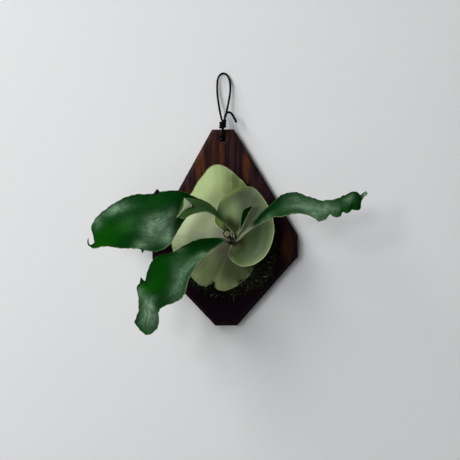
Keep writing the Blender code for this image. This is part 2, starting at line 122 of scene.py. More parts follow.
# Fronds, in millimetres about the crown (right, forward, up). A row of an antler frond holds a point of
# each edge, and how far the middle stands forward of the line between them.
LEFT_FROND = [
    (0.3, 0.8, 1.8, 1.8, 0.8, -0.6, 0), (-1, 5, 9.5, 0.4, 5, 6.5, 0), (-6.4, 9, 18.5, -5.4, 8.5, 13.5, -1),
    (-14, 16, 28, -13, 15, 20, -1.5), (-25, 24, 38, -27, 23, 29, -1.5), (-41, 31, 45, -42, 32, 27, -1),
    (-52, 36, 50, -51, 38, 18, 1), (-66, 39, 51, -59, 43, 4, 4), (-82, 39, 48, -67, 46, -9, 6),
    (-94, 37, 47, -80, 46, -15, 7), (-105, 34, 47, -92, 43, -14, 7), (-121, 29, 42, -105, 39, -12, 6),
    (-138, 25, 32, -121, 36, -12, 4), (-151, 22, 21, -136, 33, -10, 2), (-156, 21, 11, -145, 32, -11, 0),
    (-154, 22, 4, -149, 32, -12, 0), (-151, 25, -4, -152, 31, -12, 0),
    (-154.2, 29, -8.4, -155, 31, -10.4, 0), (-156, 32, -7.4, -157.1, 32.8, -8.2, 0),
    (-156.4, 33.4, -4.4, -157.4, 34, -4.4, 0), (-155.9, 34, -1.6, -156.4, 34.4, -1.5, 0),
]
YOUNG_LEFT_FROND = [
    (3.3, 0.8, 0.9, 4.5, 0.8, -1.5, 0), (2.1, 7.7, 7.1, 3.3, 7.7, 3.7, 0),
    (-3.2, 13.6, 14, -1.4, 12.6, 9.6, -0.8), (-11, 20, 25, -11, 19, 19, -1.2),
    (-19, 28, 32, -18, 26, 24, -1.5), (-26, 33, 37, -26, 32, 28, -1.5), (-33, 37, 40, -35, 38, 27, -1),
    (-40, 40, 42, -44, 42, 24, 0.5), (-46, 42, 43, -51, 45, 20, 1), (-51, 43, 43, -58, 47, 22, 1),
]
LOWER_FROND = [
    (-2.8, 0.6, -2.2, -0.6, 0.6, -5, 0), (-7, 5, -1.5, -3, 5, -5, 0), (-12, 11, -1, -6, 10, -5, -1),
    (-23, 18, -1, -13, 18, -9, -2), (-38, 26, -3, -21, 27, -14, -3), (-53, 33, -10, -26, 36, -18, -4),
    (-63, 38, -16, -31, 42, -23, -4), (-76, 42, -19, -39, 48, -35, -4), (-83, 45, -23, -45, 52, -45, -3),
    (-87, 48, -30, -48, 54, -57, -1), (-90, 50, -39, -53, 55, -65, 1), (-92, 52, -47, -60, 55, -69, 2),
    (-100, 54, -52, -73, 54, -74, 2), (-98, 54, -66, -77, 53, -80, 2), (-99, 52, -80, -77, 51, -87, 1.5),
    (-103, 49, -91, -78, 48, -94, 1), (-98, 47, -99, -81, 46, -100, 0.5),
    (-92, 46, -105, -87, 46, -104.5, 0),
]
RIGHT_FROND = [
    (5.6, 1, -3.8, 7.1, 0.8, -5.8, 0), (9.4, 4.6, -0.2, 11, 4.6, -2.6, 0), (13, 9, 5, 15, 9, 2, -0.5),
    (24, 15, 15, 27, 15, 11, -1), (34, 21, 27, 38, 22, 17, -2), (45, 26, 37, 48, 29, 22, -3),
    (55, 30, 46, 59, 34, 23, -3.5), (64, 33, 49, 70, 38, 26, -3), (73, 36, 49, 80, 41, 25, -2),
    (82, 39, 45, 88, 44, 22, -1), (89, 41, 43, 95, 47, 17.4, 1), (97, 43, 40, 102, 48, 20, 2),
    (103, 44.5, 40, 106.8, 48, 24.8, 2), (107, 45, 40.3, 109.4, 48.5, 22.6, 2),
    (112, 46, 41.3, 114.3, 49.5, 21.6, 2), (117, 46, 43, 118, 49.5, 23.6, 2),
    (120, 46, 44.2, 119.8, 48.5, 26.9, 2), (124, 46, 46, 124, 50, 26.2, 2),
    (128, 45.5, 48, 127.6, 49.8, 27.4, 1.8), (131, 45, 49.3, 130.4, 48.5, 30.1, 1.6),
    (134.5, 44.5, 49.3, 135.9, 49, 28.9, 1.3), (137.5, 44, 47.8, 139.6, 48, 32, 1),
    (139.5, 43.3, 46.3, 140.3, 46, 38, 0.5), (141.2, 43, 46.6, 143.4, 43.4, 43.2, 0),
    (144.2, 43, 49, 146.4, 43.2, 45.8, 0), (146.2, 43, 49.9, 147.9, 43, 47.6, 0),
]
# Folded lengthwise: the left edge, the fold and the near edge.
YOUNG_UPRIGHT_FROND = [
    ((6, 0.7, 1.4), (7.8, 0.6, 0.2), (7.4, 0.8, -1.4)), ((6.8, 5, 5), (9.4, 3.6, 3.6), (8.2, 5.6, 3)),
    ((9.8, 10, 9), (13.4, 7, 7), (10.6, 11, 6.2)), ((11, 15, 16), (18.5, 10, 14), (13.8, 17, 13)),
    ((12.4, 20, 25), (25, 14, 22.5), (17, 22, 20.8)), ((15, 23, 31.2), (30, 16, 29.5), (20.5, 27, 28.6)),
    ((20.5, 26, 34.2), (31.5, 19, 34.4), (23.5, 30, 33.4)),
]
# Soft marks on a frond, in millimetres: the place along it and to the side of its middle, the reach each
# way, and the strength. Bloom and sheen is a grey coat of hairs that is also a painted sheen, a painted
# highlight where the leaf would catch the light, and fresh is a brighter green.
LEFT_BLOOM_AND_SHEEN = [
    (115, 5, 11, 10, 0.85), (106, 22, 9, 9, 0.95), (127, 14, 9, 9, 0.4), (159, -20, 14, 5.5, 0.65),
    (184, -14, 6, 8, 0.35), (140, 27, 9, 5, 0.62), (97, 3, 7, 7, 0.35), (148, 2, 12, 8, 0.1),
]
LEFT_FRESH = [(178, 6, 26, 16, 0.9), (150, 4, 14, 10, 0.6), (186, 14, 12, 8, 1.0), (120, -18, 20, 6, 0.3)]
LOWER_BLOOM_AND_SHEEN = [
    (60, 12, 14, 5.5, 0.42), (84, 12, 14, 6.5, 0.4), (103, 16, 12, 8, 0.31), (150, 2, 13, 9, 1.0),
    (134, 2, 8, 7, 0.9), (57, -14, 5, 4, 0.35), (74, 0, 12, 4, 0.15), (130, -12, 7, 4, 0.35),
    (66, -8, 12, 5, 0.1), (164, 1, 6, 8, 0.06),
]
LOWER_FRESH = [(84, -14, 34, 12, 0.75), (110, -4, 12, 10, 0.5), (126, -12, 10, 8, 1.0), (164, 2, 7, 14, 1.0)]
RIGHT_BLOOM_AND_SHEEN = [
    (90, 0, 16, 9, 0.38), (109, 4, 13, 12, 0.44), (125, 0, 9, 8, 0.4), (139, 2, 7, 5, 0.15),
    (150, -3, 6, 5, 0.4), (46, 4, 12, 4, 0.3), (174, 0, 5, 5, 0.9),
]
RIGHT_FRESH = [(126, 10, 5, 4, 1.0), (136, 10, 5, 4, 1.0), (147, 10, 8, 4, 1.0), (60, 0, 14, 6, 0.1)]
YOUNG_BLOOM_AND_SHEEN = [(70, 0, 16, 8, 0.15)]
YOUNG_FRESH = [(76, 6, 14, 8, 0.8), (40, 0, 20, 6, 0.3)]
YOUNG_UPRIGHT_FRESH = [(30, 0, 20, 8, 0.3)]

# Small parts of a frond in front of the wall: x, depth and z in millimetres. A spur has the two ends of its
# base and its tip. A row of the young frond's turned-over end goes from its fold to its free edge.
LEFT_SPUR = ((-86.4, 100.4, -212.4), (-82.3, 100.6, -212.9), (-84.8, 101.0, -217.6))
LEFT_DARK_TIP = ((-73.6, 96.8, -153.6), (-65.6, 97.9, -152.0), (-69.4, 96.4, -147.8))
LOWER_SPUR = ((-86.6, 111.6, -252.6), (-79.6, 110.2, -248.9), (-85.3, 109.6, -243.0))
YOUNG_CURL = [
    (-39.5, 101.4, -157.9, -38.8, 101.8, -158.0, 0.1), (-39.8, 101.8, -160.6, -35.8, 103.2, -160.7, 0.6),
    (-40.1, 102.4, -163.3, -32.7, 104.2, -163.5, 1.0), (-40.5, 103.0, -166.6, -31.0, 104.4, -166.8, 1.2),
    (-40.9, 103.4, -168.9, -35.9, 104.2, -169.4, 0.8), (-43.5, 104.2, -173.1, -41.8, 104.4, -173.7, 0.3),
    (-45.7, 104.8, -176.3, -44.4, 105.0, -177.0, 0.2), (-47.7, 105.2, -178.6, -46.8, 105.3, -179.1, 0.1),
]
# A row of a shield frond is one radius: how far forward its two inner points stand, and the point of its
# edge.
OLD_SHIELD = [
    (-14, -17, 33, -21, 24), (-14, -16, 30, -21, 40), (-13, -13, 22, -22, 55), (-13, -11, 14, -22, 66),
    (-12, -9, 4, -21, 75), (-11, -8, -6, -20, 83), (-10, -8, -18, -20, 86), (-10, -8, -26, -20, 82),
    (-10, -8, -35, -22, 71), (-10, -8, -46, -25, 55), (-9, -8, -57, -27, 37), (-9, -8, -65, -28, 20),
    (-8, -8, -70, -29, 2), (-8, -9, -71, -29, -11), (-9, -10, -66, -29, -27), (-9, -12, -57, -29, -40),
    (-10, -14, -48, -28, -49), (-10, -13, -40, -28, -56), (-10, -15, -30, -27.8, -60),
    (-11, -15, -22, -27.4, -57), (-11, -14, -17, -27, -63), (-11, -15, -8, -26, -65),
    (-12, -16, 1, -25, -62), (-13, -17, 11, -24, -56), (-14, -17, 21, -22, -47), (-14, -17, 29, -21, -35),
    (-14, -17, 34, -21, -22),
]
NEW_SHIELD = [
    (-4, -1, -15, 2, 13), (-5, -2, -18, 2.5, 18), (-6, -3, -17, 2.5, 27), (-7, -4, -14, 2.5, 38),
    (-7, -5, -8, 2.5, 45), (-8, -5.5, -1, 2.5, 51), (-8, -6, 9, 2, 56), (-9, -6.5, 18, 1.5, 58),
    (-9, -7, 26, 1, 57), (-10, -9, 33, 0, 51), (-10, -10, 39, -1, 43), (-10, -11, 45, -2, 32),
    (-10, -11, 49, -2, 20), (-10, -11, 50, -2, 8), (-10, -11, 48, -1, -6), (-9, -10, 42, 0, -19),
    (-8, -9, 33, 0, -28), (-7, -7, 22, 1, -33), (-6, -5, 13, 1, -34), (-5, -3, 6, 1, -31),
    (-4.5, -2, 0, 0, -26), (-4, -2, -3, 0, -19),
]
SHIELD_INNER_RADIUS = 6.0  # millimetres from the rhizome's middle, where a row begins
SHIELD_SHARES = (0.35, 0.7)  # of the way from there to the edge, where the two inner points are
SHIELD_RIBS = 21
SHIELD_RELIEF = 0.0008
SHIELD_WAVE = 0.05
SHIELD_RUFFLE_WAVE = 0.03
SHIELD_THICKNESS = 0.0009
SHIELD_RIM = 0.0003  # how thick its edge is
SHIELD_TAPER = 0.008

# An antler frond, in metres: where its blade starts and over what length it grows, its low relief and that
# relief's wave, the ruffled share of its width, the rib down its middle, its uneven margin, and the
# thickness of its middle and of its edge: at the stalk, and how much thinner they are in the blade
BLADE_START = 0.015
BLADE_GROWTH = 0.03
BLADE_RELIEF = 0.0004
BLADE_WAVE = 0.042
RUFFLED_SHARE = 0.35
RUFFLE_WAVE = 0.019
FULL_RUFFLE = 0.0006
YOUNG_RUFFLE = 0.0002
RIB_DEPTH = 0.0004
RIB_WIDTH = 0.0016
UNEVEN_MARGIN = 0.004
UNEVEN_WAVE = 0.009
UNEVEN_FROM = 0.012  # of width
MIDDLE_THICKNESS = (0.0017, 0.0009)
EDGE_THICKNESS = (0.0011, 0.0007)
SPUR_THICKNESS = 0.0005
CURL_THICKNESS = 0.0004
# Steps along and across a sheet, from each point of its table to the next
FROND_STEPS = (8, 14)
SHIELD_STEPS = (9, 14)
CURL_STEPS = (5, 6)
SPUR_STEPS = (9, 6)
SPUR_END = 0.94  # of the way to its tip
# The stalk's pale colour, a pale stalk that also carries a painted highlight partway along it: how it fades
# along the frond, and the pale line of painted highlight on one edge
PALE_FADE = 0.012
PALE_EDGE_HIGHLIGHT = 0.0009
PALE_EDGE_HIGHLIGHT_LENGTH = 0.07
PALE_EDGE_HIGHLIGHT_FADE = 0.05
# Upper faces: deep green, fresh green, the grey of bloom and painted sheen, and roughness. Undersides:
# colour, paler streaks and, for the folded one, its felt.
ANTLER_GREENS = (0.0016, 0.028, 0.0038), (0.0024, 0.056, 0.0008), (0.21, 0.35, 0.22), 0.45
YOUNG_GREENS = (0.03, 0.092, 0.02), (0.056, 0.145, 0.032), (0.2, 0.3, 0.16), 0.55
ANTLER_UNDERSIDE = (0.1, 0.15, 0.07), (0.17, 0.21, 0.12)
YOUNG_UNDERSIDE = (0.17, 0.21, 0.12), (0.26, 0.29, 0.19)
FOLDED_UNDERSIDE = (0.084, 0.125, 0.044), (0.125, 0.165, 0.07), (0.17, 0.21, 0.11)
CURL_UNDERSIDE = (0.095, 0.155, 0.055), (0.125, 0.185, 0.085)
OLD_UNDERSIDE = (0.2, 0.2, 0.11), (0.28, 0.27, 0.17)
NEW_UNDERSIDE = (0.14, 0.18, 0.09), (0.2, 0.24, 0.13)

# The stem's profile (share of its radius, millimetres forward), and its bud: the place from the crown in
# millimetres, the coil's inner radius and how far it opens, and the thickness at its tip and what it gains
STEM_PROFILE = [(0.1, 0.0), (0.45, 0.0), (0.72, -0.5), (0.92, -1.4), (1.0, -3.0), (0.98, -7.0), (1.0, -17.0)]
STEM_RADIUS = 0.0068
STEM_STEPS, STEM_SIDES = 5, 48
BUD_PLACE = (-4.2, 0.6, 3.9)
BUD_COIL = (0.0008, 0.0021)
BUD_TURNS = 1.6
BUD_THICKNESS = (0.0004, 0.00048)
BUD_STEPS, BUD_SIDES = 150, 20

# The moss ball: its rings and sides, the dent in its outline, its lumps (height and longest wave), and the
# shares of its strands that are bright and that are pale
MOSS_RINGS, MOSS_SIDES = 45, 180
MOSS_DENT_ANGLE, MOSS_DENT_WIDTH, MOSS_DENT_DEPTH = math.radians(58), math.radians(28), 0.13
MOSS_LUMPS, MOSS_FINE_LUMPS = (0.0024, 0.014), (0.001, 0.005)
BRIGHT_SHARE, PALE_SHARE = 0.08, 0.008

# Strands: how many there are, and their least and greatest length and width. The hairs have one width.
MOSS_STRANDS = 24000, (0.0025, 0.0075), (0.00018, 0.00046)
STEM_SCALES = 420, (0.0012, 0.0034), (0.0004, 0.0011)
BUD_HAIRS = 500, (0.0003, 0.0007), 0.00008
BUD_SCALES = 260, (0.001, 0.002), (0.0006, 0.0012)
STRAND_TIP = 0.00003  # half the width of a tip

# Colours by the tint of a point or strand
PEAT_BROWN = [(0.2, (0.0025, 0.0022, 0.0012)), (0.8, (0.01, 0.011, 0.005))]
MOSS_GREENS = [
    (0.0, (0.003, 0.003, 0.0015)), (0.35, (0.008, 0.009, 0.0035)), (0.6, (0.052, 0.062, 0.018)),
    (0.86, (0.2, 0.21, 0.08)), (1.0, (0.6, 0.6, 0.52)),
]
STEM_BROWN = [(0.0, (0.004, 0.003, 0.002)), (1.0, (0.022, 0.016, 0.009))]
SCALE_BROWN = [(0.0, (0.01, 0.007, 0.004)), (0.6, (0.045, 0.034, 0.019)), (1.0, (0.17, 0.14, 0.09))]
BUD_TAN = [(0.0, (0.14, 0.115, 0.05)), (1.0, (0.44, 0.405, 0.235))]
BUD_SCALE_BROWN = [(0.0, (0.003, 0.002, 0.0015)), (1.0, (0.02, 0.014, 0.008))]
# Near black for the left frond's small lobe tip: painted shade
SHADED_TIP_COLOURS = [(0.0, (0.004, 0.002, 0.004)), (1.0, (0.012, 0.008, 0.01))]


# Points and lines


def crown():
    low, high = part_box("rhizome")
    return np.array((high.x - CROWN_FROM_RIGHT, low.y + CROWN_FROM_FRONT, low.z + CROWN_FROM_BELOW))


def from_wall(points):
    """Millimetres (x, depth, z) to metres in the world."""
    points = np.array(points, float) * MM
    points[..., 1] *= -1
    return points


def from_crown(points):
    return from_wall(points) + crown()


def smooth_through(points, steps):
    """A smooth line through points of any shape, with so many steps from each to the next."""
    points = np.array(points, float)
    flat = points.reshape(len(points), -1)
    spans = np.sqrt(np.linalg.norm(np.diff(flat, axis=0), axis=1))[:, None]
    slopes = np.diff(flat, axis=0) / spans
    inner = (slopes[:-1] * spans[1:] + slopes[1:] * spans[:-1]) / (spans[1:] + spans[:-1])
    tangents = np.concatenate([slopes[:1], inner, slopes[-1:]])
    line = []
    for i in range(len(flat) - 1):
        for t in np.arange(steps) / steps:
            line.append(
                (2 * t**3 - 3 * t**2 + 1) * flat[i]
                + (t**3 - 2 * t**2 + t) * spans[i] * tangents[i]
                + (3 * t**2 - 2 * t**3) * flat[i + 1]
                + (t**3 - t**2) * spans[i] * tangents[i + 1]
            )
    return np.array([*line, flat[-1]]).reshape(-1, *points.shape[1:])


def smooth_sheet(rows, along_steps, across_steps):
    """A smooth grid of points through rows of points."""
    return np.stack([smooth_through(row, across_steps) for row in smooth_through(rows, along_steps)])


def along(line):
    """How far each point of a line lies from its start."""
    return np.concatenate([[0], np.cumsum(np.linalg.norm(np.diff(line, axis=0), axis=1))])


def evenly_spaced(line, step):
    length = along(line)
    at = np.linspace(0, length[-1], round(length[-1] / step) + 1)
    return np.stack([np.interp(at, length, line[:, k]) for k in range(3)], axis=1)


def unit(vectors):
    return vectors / np.maximum(np.linalg.norm(vectors, axis=-1, keepdims=True), 1e-12)


def front_normals(surface):
    """A grid's normals, on the side that faces forward, and whether they were turned over for it."""
    normals = unit(np.cross(np.gradient(surface, axis=0), np.gradient(surface, axis=1)))
    turned = normals[..., 1].mean() > 0
    return (-normals if turned else normals), turned


def smooth_step(values):
    values = np.clip(values, 0, 1)
    return values * values * (3 - 2 * values)


def hump(values, width):
    return np.exp(-((values / width) ** 2))


def waves(seed, *coordinates, longest, count=5):
    """Smooth uneven relief from -1 to 1: a few sine waves of different lengths and directions."""
    random = np.random.default_rng(seed)
    total = 0
    for i in range(count):
        length = longest * 0.8**i
        direction = unit(random.normal(size=len(coordinates)))
        phase = random.uniform(0, 2 * math.pi)
        reach = sum(c * d for c, d in zip(coordinates, direction))
        total = total + np.sin(2 * math.pi * reach / length + phase) * 0.8**i
    return total / sum(0.8**i for i in range(count))


# Materials


class Nodes:
    """Short ways to add nodes to a material or a world."""

    def __init__(self, owner):
        owner.use_nodes = True
        self.nodes = owner.node_tree.nodes
        self.links = owner.node_tree.links

    def set(self, node, values):
        """Gives a node's sockets, by name or number, a value or a link."""
        for key, value in values.items():
            socket = node.inputs[key]
            if isinstance(value, bpy.types.NodeSocket):
                self.links.new(value, socket)
            elif socket.type == "RGBA":
                socket.default_value = (*value, 1.0)
            else:
                socket.default_value = value

    def node(self, kind, values, **settings):
        made = self.nodes.new("ShaderNode" + kind)
        for name, value in settings.items():
            setattr(made, name, value)
        self.set(made, values)
        return made

    def geometry(self, name="Position"):
        return self.node("NewGeometry", {}).outputs[name]

    def attribute(self, name, field="Vector"):
        return self.node("Attribute", {}, attribute_name=name).outputs[field]

    def parts(self, vector, axes="XYZ"):
        outputs = self.node("SeparateXYZ", {"Vector": vector}).outputs
        return [outputs[axis] for axis in axes]

    def noise(self, vector, size, detail=3.0, roughness=0.55, distortion=0.0):
        """Noise whose lumps have about a size: one length, or one for each of a vector's three parts."""
        values = {"Vector": vector, "Scale": (1 / np.broadcast_to(size, 3)).tolist()}
        scaled = self.node("Mapping", values, vector_type="POINT").outputs["Vector"]
        values = {"Vector": scaled, "Scale": 1.0, "Detail": detail, "Roughness": roughness}
        return self.node("TexNoise", {**values, "Distortion": distortion}).outputs["Fac"]

    def plus(self, a, b, clamp=False, operation="ADD"):
        return self.node("Math", {0: a, 1: b}, operation=operation, use_clamp=clamp).outputs[0]

    def times(self, a, b, clamp=False):
        return self.plus(a, b, clamp, operation="MULTIPLY")

    def shaken(self, value, noise, amount):
        """A value that noise moves to either side."""
        return self.plus(value, self.times(self.plus(noise, -0.5), amount))

    def span(self, value, start, end, low=0.0, high=1.0):
        """low where value is start, high where it is end, and smooth between them."""
        values = {"Value": value, "From Min": start, "From Max": end, "To Min": low, "To Max": high}
        return self.node("MapRange", values, interpolation_type="SMOOTHSTEP").outputs["Result"]

    def spot(self, first, second, centre, reach):
        """1 at a centre of two coordinates, and down to 0 at a reach away from it."""
        total = 0.0
        for value, at, far in zip((first, second), centre, reach):
            away = self.times(self.plus(value, -at), 1 / far)
            total = self.plus(total, self.times(away, away))
        return self.span(total, 0.0, 1.0, 1.0, 0.0)

    def ramp(self, factor, stops):
        made = self.node("ValToRGB", {"Fac": factor})
        elements = made.color_ramp.elements
        while len(elements) < len(stops):
            elements.new(0.5)
        for element, (place, colour) in zip(elements, stops):
            element.position = place
            element.color = (*colour, 1.0)
        return made.outputs["Color"]


class Paint(Nodes):
    """A Principled material whose tone is built up in layers."""

    def __init__(self, name, tone=None):
        self.material = bpy.data.materials.new(name)
        super().__init__(self.material)
        self.shader = self.nodes["Principled BSDF"]
        self.tone = tone

    def lay(self, colour, share, *limits):
        """Lays a share of a colour over the tone. With limits, share goes through span first."""
        if limits:
            share = self.span(share, *limits)
        self.tone = self.node("Mix", {0: share, 6: self.tone, 7: colour}, data_type="RGBA").outputs[2]

    def finish(self, roughness, *relief, **values):
        """Relief comes in layers, the lowest first: a height from 0 to 1, its depth and its strength."""
        normal = {}
        for height, depth, strength in relief:
            bump = self.node("Bump", {"Height": height, "Distance": depth, "Strength": strength, **normal})
            normal = {"Normal": bump.outputs["Normal"]}
        self.set(self.shader, {"Base Color": self.tone, "Roughness": roughness, **normal})
        self.set(self.shader, {name.replace("_", " "): value for name, value in values.items()})
        return self.material


MARGIN_COLOUR = (0.09, 0.17, 0.045)
STALK_COLOUR = (0.23, 0.26, 0.155)


def antler_paint(name, deep, fresh, bloom_and_sheen, roughness):
    """The upper face of an antler frond: fine lengthwise streaks, a fresher green in places, and brushed
    patches of grey bloom that are also a painted sheen. The frond attribute holds the lengths along it,
    across it and in from its edge, and the marks attribute its bloom and sheen, its fresher green and its
    pale stalk, which carries a painted highlight."""
    paint = Paint(name, deep)
    leaf = paint.attribute("frond")
    bloom_and_sheen_share, brighter, stalk = paint.parts(paint.attribute("marks"))
    streaks = paint.noise(leaf, (0.02, 0.001, 1), detail=4.0)
    fine = paint.noise(leaf, (0.006, 0.0004, 1), detail=2.0)
    patches = paint.noise(leaf, (0.03, 0.014, 1), detail=2.0)
    hairs = paint.noise(leaf, (0.0036, 0.0011, 1), detail=5.0, roughness=0.75, distortion=0.3)
    clouds = paint.noise(leaf, (0.011, 0.009, 1))
    brighter = paint.plus(brighter, paint.span(streaks, 0.3, 0.7, -0.22, 0.22))
    paint.lay(fresh, paint.plus(brighter, paint.span(patches, 0.3, 0.7, -0.12, 0.2), clamp=True))
    brushed = paint.times(paint.span(clouds, 0.36, 0.62, 0.6, 1.12), paint.span(hairs, 0.3, 0.7, 0.48, 1.28))
    brushed = paint.times(brushed, paint.span(streaks, 0.35, 0.65, 0.78, 1.2))
    dust = paint.span(hairs, 0.5, 0.8, 0.0, 0.008)
    # The grey bloom of hairs, laid where the marks put it, also paints in the leaf's sheen: a painted
    # highlight
    paint.lay(bloom_and_sheen, paint.plus(paint.times(bloom_and_sheen_share, brushed), dust, clamp=True))
    paint.lay(MARGIN_COLOUR, paint.parts(leaf, "Z")[0], 0.0002, 0.001, 0.5, 0.0)
    # The pale stalk, with its painted highlight partway along it and along one edge
    paint.lay(STALK_COLOUR, stalk)
    shine = paint.span(streaks, 0.3, 0.7, roughness - 0.05, roughness + 0.08)
    return paint.finish(shine, (streaks, 0.00012, 0.5), (fine, 0.00008, 0.6), Specular_IOR_Level=0.01)


def underside_paint(name, colour, pale, felt_colour=(0.42, 0.45, 0.34)):
    """The felted underside of a frond."""
    paint = Paint(name, colour)
    leaf = paint.attribute("frond")
    streaks = paint.noise(leaf, (0.018, 0.0012, 1))
    felt = paint.noise(leaf, (0.0005, 0.0005, 1), detail=4.0, roughness=0.75)
    paint.lay(pale, streaks, 0.35, 0.65)
    paint.lay(felt_colour, felt, 0.35, 0.75, 0.0, 0.55)
    return paint.finish(0.8, (streaks, 0.0002, 0.6), (felt, 0.00015, 0.8), Sheen_Weight=0.25)


# The wood. Its colour from the board's foot to its top, much darker towards the foot, and its orange
# streaks: centre and reach (x, z), and strength.
WOOD_UPWARD_COLOURS = [
    (0.0, (0.011, 0.001, 0.0065)), (0.3, (0.01, 0.002, 0.0066)), (0.5, (0.02, 0.0075, 0.008)),
    (0.72, (0.033, 0.0145, 0.016)), (1.0, (0.048, 0.0205, 0.0215)),
]
WOOD_STREAKS = [
    ((-0.026, -0.118), (0.0085, 0.034), 0.85), ((-0.0015, -0.1), (0.0038, 0.024), 0.8),
    ((0.011, -0.076), (0.006, 0.016), 0.25), ((0.03, -0.114), (0.0065, 0.03), 0.85),
    ((0.04, -0.15), (0.005, 0.03), 0.25), ((0.079, -0.214), (0.009, 0.026), 0.5),
    ((-0.042, -0.15), (0.005, 0.026), 0.4), ((0.002, -0.078), (0.007, 0.012), 0.35),
    ((-0.011, -0.097), (0.009, 0.032), 0.35),
]
DARK_RINGS = (0.0065, 0.0022, 0.006)
ORANGE_GRAIN = (0.125, 0.04, 0.012)
DARK_FIBRES = (0.004, 0.0016, 0.0036)
WORN_AND_LIT_EDGE_COLOUR = (0.12, 0.095, 0.1)


def wood_paint():
    """Dark purple-red stain over a pale wood, whose upright grain shows through in orange-brown streaks."""
    paint = Paint("stained_wood_finish")
    place = paint.geometry()
    x, z = paint.parts(place, "XZ")
    shifted = paint.shaken(x, paint.noise(place, (0.03, 0.03, 0.11), detail=2.0), 0.008)
    low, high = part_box("board")
    upward = paint.node("MapRange", {"Value": z, "From Min": low.z, "From Max": high.z}).outputs[0]
    rings = paint.noise(place, (0.0046, 0.0046, 0.15), detail=4.0, distortion=0.3)
    fibres = paint.noise(place, (0.0008, 0.0008, 0.028), detail=4.0)
    paint.tone = paint.ramp(upward, WOOD_UPWARD_COLOURS)
    paint.lay(DARK_RINGS, rings, 0.42, 0.6, 0.0, 0.75)
    orange = 0.0
    for centre, reach, strength in WOOD_STREAKS:
        orange = paint.plus(orange, paint.times(paint.spot(shifted, z, centre, reach), strength))
    paint.lay(ORANGE_GRAIN, paint.times(orange, paint.span(fibres, 0.32, 0.62, 0.35, 1.1), clamp=True))
    paint.lay(DARK_FIBRES, fibres, 0.36, 0.66, 0.55, 0.0)
    edge = paint.node("Bevel", {"Radius": 0.0012}, samples=4).outputs["Normal"]
    normals = {0: edge, 1: paint.geometry("Normal")}
    turned = paint.node("VectorMath", normals, operation="DOT_PRODUCT").outputs["Value"]
    rub = paint.noise(place, 0.006, detail=4.0, roughness=0.7)
    # Lighter along the eased edges: wear, and also a painted highlight where the chamfers catch the light
    worn_and_lit_edge = paint.times(paint.span(turned, 0.99, 0.9), paint.span(rub, 0.42, 0.62))
    paint.lay(WORN_AND_LIT_EDGE_COLOUR, paint.times(worn_and_lit_edge, 0.8))
    shine = paint.span(fibres, 0.3, 0.7, 0.5, 0.36)
    return paint.finish(shine, (rings, 0.0003, 0.5), (fibres, 0.00012, 0.6), Specular_IOR_Level=0.025)


def cord_paint():
    paint = Paint("black_cord_finish", (0.0012, 0.0012, 0.0018))
    fuzz = paint.noise(paint.geometry(), 0.0003, roughness=0.7)
    rubbed = paint.noise(paint.geometry(), 0.004, detail=2.0)
    paint.lay((0.0045, 0.0045, 0.006), fuzz, 0.35, 0.75)
    paint.lay((0.012, 0.012, 0.014), rubbed, 0.45, 0.7, 0.0, 0.35)
    return paint.finish(0.5, (fuzz, 0.00006, 0.7), Specular_IOR_Level=0.05)


# Grain: its size, the noise's roughness, how far it moves the tint, and its relief's depth and strength
MOSS_GRAIN = (0.0009, 0.7, 0.25, 0.0003, 0.8)
SCALE_GRAIN = (0.0006, 0.55, 0.4, 0.0002, 0.7)


def tint_paint(name, grain, stops, roughness=0.85):
    """Colours picked by the tint attribute, which is a number from 0 to 1 for each strand or point."""
    size, harshness, share, depth, strength = grain
    paint = Paint(name)
    speckle = paint.noise(paint.geometry(), size, roughness=harshness)
    paint.tone = paint.ramp(paint.shaken(paint.attribute("tint", "Fac"), speckle, share), stops)
    return paint.finish(roughness, (speckle, depth, strength), Specular_IOR_Level=0.1)


class ShieldPaint(Paint):
    """The inner face of a shield frond. The frond attribute holds a way round it, the radius and the way in
    from its edge. Its veins are radial, and its patches have their places from the crown (right, up)."""

    def __init__(self, name, vein_length, fine_width, mottle_size):
        super().__init__(name)
        leaf, place = self.attribute("frond"), self.geometry()
        self.radius, self.inward = self.parts(leaf, "YZ")
        self.x, self.z = self.parts(place, "XZ")
        self.veins = self.noise(leaf, (0.004, vein_length, 1), detail=4.0, roughness=0.6)
        self.fine = self.noise(leaf, (fine_width, 0.02, 1), roughness=0.6)
        self.mottle = self.noise(place, mottle_size)

    def rise(self, start, end):
        """0 at one height from the crown and 1 at another."""
        return self.span(self.z, crown()[2] + start, crown()[2] + end)

    def patch(self, at, reach, strength, colour):
        """Lays a soft spot of a colour."""
        centre = crown()[0] + at[0], crown()[2] + at[1]
        self.lay(colour, self.times(self.spot(self.x, self.z, centre, reach), strength))


# From the old shield's foot to its top
OLD_SHIELD_TONES = [
    (0.0, (0.43, 0.54, 0.22)), (0.3, (0.44, 0.54, 0.26)), (0.52, (0.56, 0.64, 0.42)),
    (0.75, (0.33, 0.41, 0.2)), (1.0, (0.3, 0.385, 0.165)),
]


